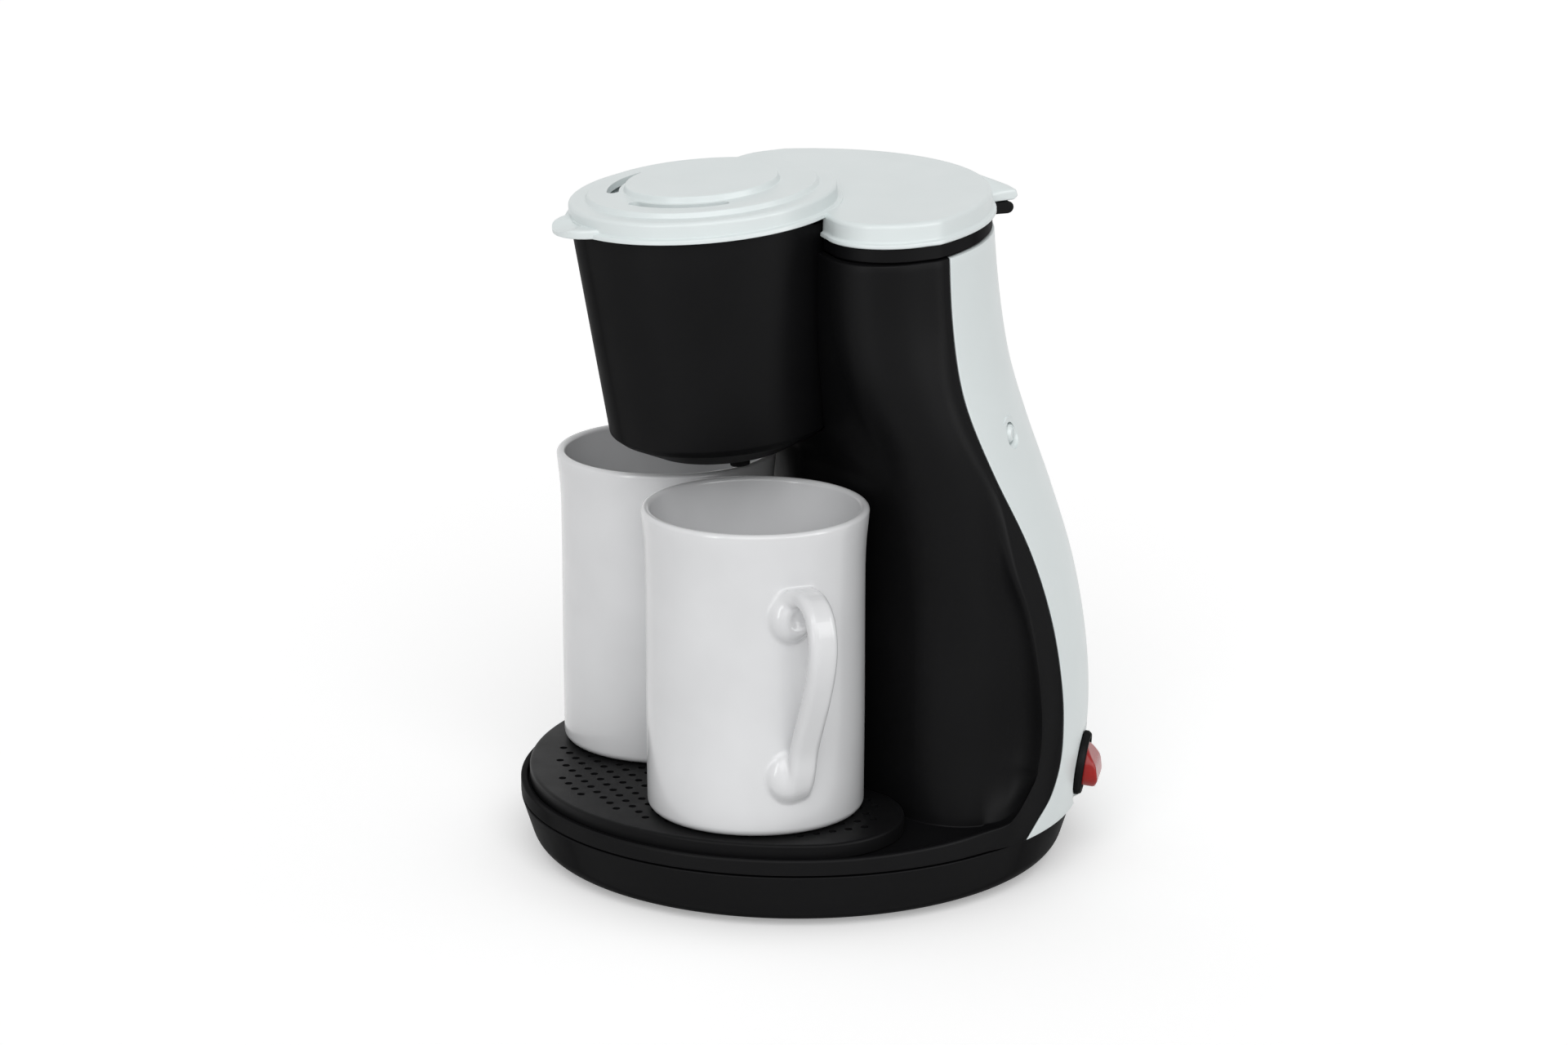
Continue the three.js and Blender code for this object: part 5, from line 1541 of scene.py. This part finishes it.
def woven_gauze(name, colour):
    """A weave of level and upright threads."""
    look = Finish(name, Roughness=0.5, Specular_IOR_Level=0.4)
    across = look.add("ShaderNodeMapping", {"Vector": look.place, "Rotation": (0, 0, math.pi / 4)}).outputs[0]
    threads = [
        look.add("ShaderNodeTexWave", {"Vector": place, "Scale": 260.0, "Distortion": 0.0},
                 wave_type="BANDS", bands_direction=way).outputs["Fac"]
        for place, way in ((look.place, "Z"), (across, "X"))
    ]
    weave = look.add("ShaderNodeMath", {0: threads[0], 1: threads[1]}, operation="MAXIMUM").outputs[0]
    look.link(look.shades(weave, tinted(colour, 0.45), colour, 0.35, 0.75), "Base Color")
    look.grain(weave, 0.0002)
    return look.material


# ------------------------------------------------------------------ settings


class MakerColours(bpy.types.PropertyGroup):
    """Colours of the coffee maker's finishes."""

    housing: FloatVectorProperty(
        name="Housing", description="Colour of the black plastic parts", subtype="COLOR",
        default=(0.0054, 0.0054, 0.0058), min=0, max=1)
    covers: FloatVectorProperty(
        name="Covers", description="Colour of the lid and the rear cover", subtype="COLOR",
        default=(0.735, 0.79, 0.79), min=0, max=1)
    mugs: FloatVectorProperty(
        name="Mugs", description="Colour of the mugs' glaze", subtype="COLOR",
        default=(0.72, 0.725, 0.735), min=0, max=1)
    switch: FloatVectorProperty(
        name="Switch", description="Colour of the switch's rocker", subtype="COLOR",
        default=(0.33, 0.009, 0.007), min=0, max=1)


class MakerSizes(bpy.types.PropertyGroup):
    """Sizes that can be changed without touching the frame."""

    hole_diameter: FloatProperty(
        name="Hole Diameter", description="Diameter of the tray's drain holes", default=2.4 * MM,
        min=1 * MM, max=4 * MM, unit="LENGTH")
    hole_pitch_across: FloatProperty(
        name="Pitch Across", description="Distance between drain holes from side to side", default=5.45 * MM,
        min=4 * MM, max=12 * MM, unit="LENGTH")
    hole_pitch_along: FloatProperty(
        name="Pitch Along", description="Distance between drain holes from front to back", default=5.15 * MM,
        min=4 * MM, max=12 * MM, unit="LENGTH")
    hole_margin: FloatProperty(
        name="Hole Margin", description="Plain border of the tray outside its drain holes", default=7.7 * MM,
        min=4 * MM, max=20 * MM, unit="LENGTH")
    basket_windows: IntProperty(
        name="Basket Windows", description="Windows round the filter basket", default=8, min=4, max=12)
    window_width: FloatProperty(
        name="Window Width", description="Width of a window in the filter basket", default=13 * MM,
        min=5 * MM, max=20 * MM, unit="LENGTH")
    vent_slots: IntProperty(
        name="Vent Slots", description="Air slots under the heater", default=7, min=1, max=9)


class StageSettings(bpy.types.PropertyGroup):
    """Light and camera."""

    key_power: FloatProperty(
        name="Key Light", description="Strength of the broad light from above and in front",
        default=1.5, min=0)
    strip_power: FloatProperty(
        name="Strip Lights", description="Power of each upright strip light",
        default=4.4, min=0, unit="POWER")
    world_light: FloatProperty(
        name="Surround", description="Strength of the light that comes from all round", default=0.5, min=0)
    lens: FloatProperty(
        name="Lens", description="Focal length of the camera", default=111.4 * MM, min=10 * MM, max=1.0,
        unit="CAMERA")


FINISHES = {}


def finish_of(name):
    if name not in FINISHES:
        raise RuntimeError("the finishes come first")
    return FINISHES[name]


def make_finishes(colours):
    """Makes every material again from the colours that are set."""
    FINISHES.clear()
    for make, name, *values in (
        (moulded_plastic, "black_plastic", colours.housing, 0.42, 0.07, 0.00045, 0.000012, 0.12, 0.005),
        (moulded_plastic, "grid_plastic", colours.housing, 0.42, 0.06),
        (moulded_plastic, "white_plastic", colours.covers, 0.34, 0.42, 0.0006, 0.000006, 0.012),
        (glazed, "ceramic", colours.mugs),
        (lens_plastic, "red_plastic", colours.switch),
        (drawn_metal, "steel", (0.55, 0.56, 0.58), 0.3),
        (drawn_metal, "aluminium", (0.42, 0.43, 0.44), 0.42),
        (rubbery, "rubber", (0.006, 0.006, 0.007), 0.75),
        (rubbery, "silicone", (0.66, 0.63, 0.56), 0.5, 0.2),
        (rubbery, "nylon", (0.62, 0.6, 0.46), 0.45, 0.15),
        (woven_gauze, "gauze", (0.62, 0.6, 0.5)),
        (rubbery, "phenolic", (0.022, 0.013, 0.009), 0.55),
    ):
        FINISHES[name] = make(name, *values)


def dress(piece, material):
    piece.data.materials.clear()
    piece.data.materials.append(finish_of(material))
    return piece


def hand_over(piece, body, slot, *nodes, material=None):
    """Gives a finished piece its material, its body and the parts it stands for."""
    dress(piece, material or slot)
    if not piece.data.polygons:
        raise RuntimeError(f"{piece.name} came out empty")
    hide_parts(*nodes)
    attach(piece, body)
    return piece


def even_normals(piece):
    """Smooth shading that keeps flat faces flat, for cut pieces."""
    soft_shading(piece)
    step = piece.modifiers.new("even", "WEIGHTED_NORMAL")
    step.keep_sharp = True
    step.weight = 50
    return settle(piece)


def reshape(piece, place):
    """Moves a mesh's points with a placing function, in millimetres about the deck's centre."""
    mesh = piece.data
    flat = np.empty(len(mesh.vertices) * 3, np.float32)
    mesh.vertices.foreach_get("co", flat)
    shift = np.array([0, DECK_CENTRE_Y, 0])
    points = place(flat.reshape(-1, 3).astype(float) / MM - shift) + shift
    mesh.vertices.foreach_set("co", (points * MM).astype(np.float32).ravel())
    mesh.update()
    return piece


def in_frame(x, y, z):
    """A point about the deck's centre, in the frame's metres."""
    return (x * MM, (y + DECK_CENTRE_Y) * MM, z * MM)


def at_four_corners(tree, piece, places, height, material):
    """Copies a piece to the two mirrored pairs of places, at a height."""
    reshape(piece, lambda points: points - [0, DECK_CENTRE_Y, 0])
    return run_tree(piece, tree, material, front_place=in_frame(*places[0], height),
                    rear_place=in_frame(*places[2], height))


class MakerOperator:
    """What all the operators share."""

    bl_options = {"REGISTER", "UNDO"}

    def execute(self, context):
        self.build(context.scene)
        return {"FINISHED"}


class COFFEE_OT_finishes(MakerOperator, bpy.types.Operator):
    """Makes the materials and gives them to the inner parts that keep their own shape"""

    bl_idname = "coffee.finishes"
    bl_label = "Finishes"

    INNER = {
        "tank_seal": "silicone", "water_spout": "nylon", "boiler": "aluminium",
        "riser_hose": "silicone", "inlet_hose": "silicone", "check_valve": "silicone",
        "heater_bracket": "steel", "heater_screw_right": "steel", "heater_screw_left": "steel",
        "thermostat": "phenolic", "thermal_fuse_1": "steel", "thermal_fuse_2": "steel",
        "terminal_block": "nylon",
    }

    def build(self, scene):
        make_finishes(scene.maker_colours)
        for node, material in self.INNER.items():
            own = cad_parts[node]
            if not own.material_slots:
                own.data.materials.append(finish_of(material))
            for slot in own.material_slots:
                slot.material = finish_of(material)


class COFFEE_OT_base(MakerOperator, bpy.types.Operator):
    """Builds the base pan with its vent slots, feet and screws"""

    bl_idname = "coffee.base"
    bl_label = "Base"

    def build(self, scene):
        sizes = scene.maker_sizes
        pan = build_base_pan()
        run_tree(
            pan, slot_row_tree(), "black_plastic", count=sizes.vent_slots, pitch=6 * MM,
            slot_width=2.4 * MM, slot_length=18 * MM, depth=7 * MM, row_centre=in_frame(0, 37, -0.5),
        )
        even_normals(pan)
        hand_over(pan, "machine", "black_plastic", "base_pan")
        corners = four_corner_tree()
        for piece, places, height, material, part in (
            (foot_pad(), FOOT_PLACES, 0.0, "rubber", "foot"),
            (pan_head_screw("base_screws", 6), SCREW_PLACES, 6.7, "steel", "base_screw"),
        ):
            at_four_corners(corners, piece, places, height, material)
            hand_over(piece, "machine", material, *[f"{part}_{number}" for number in (1, 2, 3, 4)])


class COFFEE_OT_housing(MakerOperator, bpy.types.Operator):
    """Builds the black housing: deck, rim and tower"""

    bl_idname = "coffee.housing"
    bl_label = "Housing"

    def build(self, scene):
        piece = build_body_shell()
        hand_over(piece, "machine", "black_plastic", "body_shell")


class COFFEE_OT_rear_cover(MakerOperator, bpy.types.Operator):
    """Builds the white rear cover with its two screws and the cord's bush"""

    bl_idname = "coffee.rear_cover"
    bl_label = "Rear Cover"

    def build(self, scene):
        cover = build_back_cover()
        hand_over(cover, "machine", "white_plastic", "back_cover")
        radius, centre = float(bell_radius(COVER_SCREW_Z)), float(bell_centre(COVER_SCREW_Z))
        screws = pan_head_screw("cover_screws", 9)
        reshape(screws, moved(facing((0, radius - 1.6 - DECK_CENTRE_Y, COVER_SCREW_Z), (0, -1, 0))))
        run_tree(screws, turned_pair_tree(), "white_plastic", axis_foot=in_frame(0, centre, 0), turn=SCREW_TURN)
        hand_over(screws, "machine", "steel", "cover_screw_right", "cover_screw_left",
                  material="white_plastic")
        hand_over(build_gland(), "machine", "rubber", "cord_gland")


class COFFEE_OT_switch(MakerOperator, bpy.types.Operator):
    """Builds the switch's surround and its red rocker"""

    bl_idname = "coffee.switch"
    bl_label = "Switch"

    def build(self, scene):
        hand_over(build_switch_bezel(), "machine", "black_plastic", "switch_bezel")
        hand_over(build_switch_rocker(), "switch_rocker", "red_plastic", "switch_rocker")


class COFFEE_OT_brew(MakerOperator, bpy.types.Operator):
    """Builds the brew bucket, its two nozzles and the filter basket"""

    bl_idname = "coffee.brew"
    bl_label = "Brew Bucket and Basket"

    def build(self, scene):
        sizes = scene.maker_sizes
        hand_over(build_filter_bucket(), "machine", "black_plastic", "filter_bucket")
        for side, word in ((1, "right"), (-1, "left")):
            nozzle = build_nozzle(f"nozzle_{word}", side)
            hand_over(nozzle, "machine", "black_plastic", f"drip_nozzle_{word}")
        basket = build_filter_frame()
        run_tree(
            basket, window_ring_tree(), "black_plastic", count=sizes.basket_windows,
            window_width=sizes.window_width, window_height=31 * MM, corner=3 * MM, reach=22 * MM,
            depth=24 * MM, axis_foot=in_frame(0, 0, 0), middle_height=-46.5 * MM,
        )
        carve(basket, *[floor_window(quarter * 90 + 8) for quarter in range(4)])
        reshape(basket, leaning)
        even_normals(basket)
        hand_over(basket, "filter_basket", "black_plastic", "filter_frame")
        hand_over(build_filter_mesh(), "filter_basket", "nylon", "filter_mesh", material="gauze")


class COFFEE_OT_lid(MakerOperator, bpy.types.Operator):
    """Builds the lid and the pin it turns on"""

    bl_idname = "coffee.lid"
    bl_label = "Lid"

    def build(self, scene):
        lid = build_lid()
        even_normals(lid)
        hand_over(lid, "lid", "white_plastic", "lid")
        hand_over(build_hinge_pin(), "machine", "steel", "hinge_pin")
        hand_over(even_normals(build_water_tank()), "machine", "black_plastic", "water_tank")


class COFFEE_OT_cup_grid(MakerOperator, bpy.types.Operator):
    """Builds the cup tray, drilled with drain holes"""

    bl_idname = "coffee.cup_grid"
    bl_label = "Cup Tray"

    def build(self, scene):
        sizes = scene.maker_sizes
        tray = build_cup_grid()
        margin, level = sizes.hole_margin, 25.5
        run_tree(
            tray, perforation_tree(), "grid_plastic", columns=30, rows=18, depth=6 * MM,
            pitch_across=sizes.hole_pitch_across, pitch_along=sizes.hole_pitch_along,
            hole_diameter=sizes.hole_diameter, field_centre=in_frame(0, -35.2, level),
            round_centre=in_frame(0, 0, level), round_reach=TRAY_RADIUS * MM - margin,
            rear_centre=in_frame(0, TRAY_REAR_Y, level), rear_reach=TRAY_REAR_RADIUS * MM + margin,
            corner_centre=in_frame(*TRAY_CORNER_PLACE, level), corner_reach=TRAY_CORNER * MM - margin,
        )
        join(tray, *tray_ribs())
        even_normals(tray)
        hand_over(tray, "cup_grid", "black_plastic", "cup_grid", material="grid_plastic")


class COFFEE_OT_mugs(MakerOperator, bpy.types.Operator):
    """Builds the two glazed mugs"""

    bl_idname = "coffee.mugs"
    bl_label = "Mugs"

    def build(self, scene):
        for side, body in ((1, "mug_right"), (-1, "mug_left")):
            hand_over(build_mug(side), body, "ceramic", body)


class COFFEE_OT_stage(MakerOperator, bpy.types.Operator):
    """Sets up the floor, the surround, the lights and the camera"""

    bl_idname = "coffee.stage"
    bl_label = "Stage"

    def build(self, scene):
        settings = scene.maker_stage
        floor = new_piece("floor", *ring_solid([
            [(x * 4000, y * 4000, z) for x, y in ((-1, -1), (1, -1), (1, 1), (-1, 1))] for z in (-40, 0)
        ]))
        right_way_out(floor)
        floor.data.materials.append(pale_floor())
        surround(scene, settings)
        key = lamp("key", (1.25, -0.5, 1.15), (0, 0, 0.1), None, settings.key_power)
        key.data.angle = math.radians(50)
        for name, turn, height, size in (
            ("left_strip", -64, 0.5, (0.22, 1.0)),
            ("right_strip", 44, 0.5, (0.22, 1.0)),
            ("window", 22.8, 0.6, (0.7, 0.7)),
        ):
            turn = math.radians(turn)
            place = (1.25 * math.cos(turn), 1.25 * math.sin(turn), height)
            lamp(name, place, (0, 0, 0.12), size, settings.strip_power).visible_diffuse = False
        lens = bpy.data.cameras.new("camera")
        lens.lens = settings.lens / MM
        lens.sensor_width = 36.0
        lens.clip_start = 0.05
        camera = bpy.data.objects.new("camera", lens)
        scene.collection.objects.link(camera)
        right, up = (0.38254, 0.92394, -0.0001), (-0.25011, 0.10366, 0.96265)
        back = (0.88944, -0.36823, 0.27074)
        basis = Matrix((right, up, back)).transposed().to_4x4()
        camera.matrix_world = Matrix.Translation((1.30969, -0.54657 + DECK_CENTRE_Y * MM, 0.50067)) @ basis
        scene.camera = camera
        scene.view_settings.view_transform = "Standard"


def lamp(name, place, target, size, power):
    light = bpy.data.lights.new(name, "AREA" if size else "SUN")
    if size:
        light.shape = "RECTANGLE"
        light.size, light.size_y = size
    light.energy = power
    holder = bpy.data.objects.new(name, light)
    bpy.context.scene.collection.objects.link(holder)
    holder.location = place
    holder.rotation_euler = (Vector(target) - Vector(place)).to_track_quat("-Z", "Y").to_euler()
    return holder


def looking(tree):
    """One for the rays of the camera, of reflections and of clear parts, and nothing for the rest."""
    path = add_node(tree, "ShaderNodeLightPath").outputs
    found = path["Is Camera Ray"]
    for other in ("Is Glossy Ray", "Is Transmission Ray"):
        found = add_node(tree, "ShaderNodeMath", {0: found, 1: path[other]}, operation="MAXIMUM").outputs[0]
    return found


def pale_floor():
    """A matt white floor that glows a little where it is looked at, so that it meets the surround."""
    look = Finish("studio_floor", Base_Color=(0.9, 0.9, 0.9, 1), Roughness=0.9, Specular_IOR_Level=0.1)
    strength = look.add("ShaderNodeMath", {0: looking(look.tree), 1: 0.3}, operation="MULTIPLY")
    glow = look.add("ShaderNodeEmission", {"Strength": strength.outputs[0]})
    both = look.add("ShaderNodeAddShader", {0: look.surface.outputs[0], 1: glow.outputs[0]})
    look.tree.links.new(both.outputs[0], look.tree.nodes["Material Output"].inputs["Surface"])
    return look.material


def surround(scene, settings):
    """An even light from all round, which the camera and reflections see as white."""
    world = bpy.data.worlds.new("surround")
    scene.world = world
    world.use_nodes = True
    tree = world.node_tree
    light = tree.nodes["Background"]
    light.inputs["Color"].default_value = (1, 1, 1, 1)
    light.inputs["Strength"].default_value = settings.world_light
    white = add_node(tree, "ShaderNodeBackground", {"Color": (1, 1, 1, 1)})
    pick = add_node(tree, "ShaderNodeMixShader", {0: looking(tree), 1: light.outputs[0], 2: white.outputs[0]})
    tree.links.new(pick.outputs[0], tree.nodes["World Output"].inputs[0])


OPERATORS = (
    COFFEE_OT_finishes, COFFEE_OT_base, COFFEE_OT_housing, COFFEE_OT_rear_cover, COFFEE_OT_switch,
    COFFEE_OT_brew, COFFEE_OT_lid, COFFEE_OT_cup_grid, COFFEE_OT_mugs, COFFEE_OT_stage,
)


class COFFEE_PT_maker(bpy.types.Panel):
    """Lists the coffee maker's pieces and settings"""

    bl_idname = "COFFEE_PT_maker"
    bl_label = "Drip Coffee Maker"
    bl_space_type = "VIEW_3D"
    bl_region_type = "UI"
    bl_category = "Coffee Maker"

    def draw(self, context):
        scene = context.scene
        for setting in SETTINGS:
            group = getattr(scene, setting)
            box = self.layout.box()
            for name in group.__annotations__:
                box.prop(group, name)
        column = self.layout.column(align=True)
        for operator in OPERATORS:
            column.operator(operator.bl_idname)


SETTINGS = {"maker_colours": MakerColours, "maker_sizes": MakerSizes, "maker_stage": StageSettings}
CLASSES = (*SETTINGS.values(), *OPERATORS, COFFEE_PT_maker)


def register():
    for item in CLASSES:
        bpy.utils.register_class(item)
    for name, group in SETTINGS.items():
        setattr(bpy.types.Scene, name, PointerProperty(type=group))


def unregister():
    for name in SETTINGS:
        delattr(bpy.types.Scene, name)
    for item in reversed(CLASSES):
        bpy.utils.unregister_class(item)


def main():
    register()
    for operator in OPERATORS:
        family, name = operator.bl_idname.split(".")
        getattr(getattr(bpy.ops, family), name)()


if __name__ == "__main__":
    main()
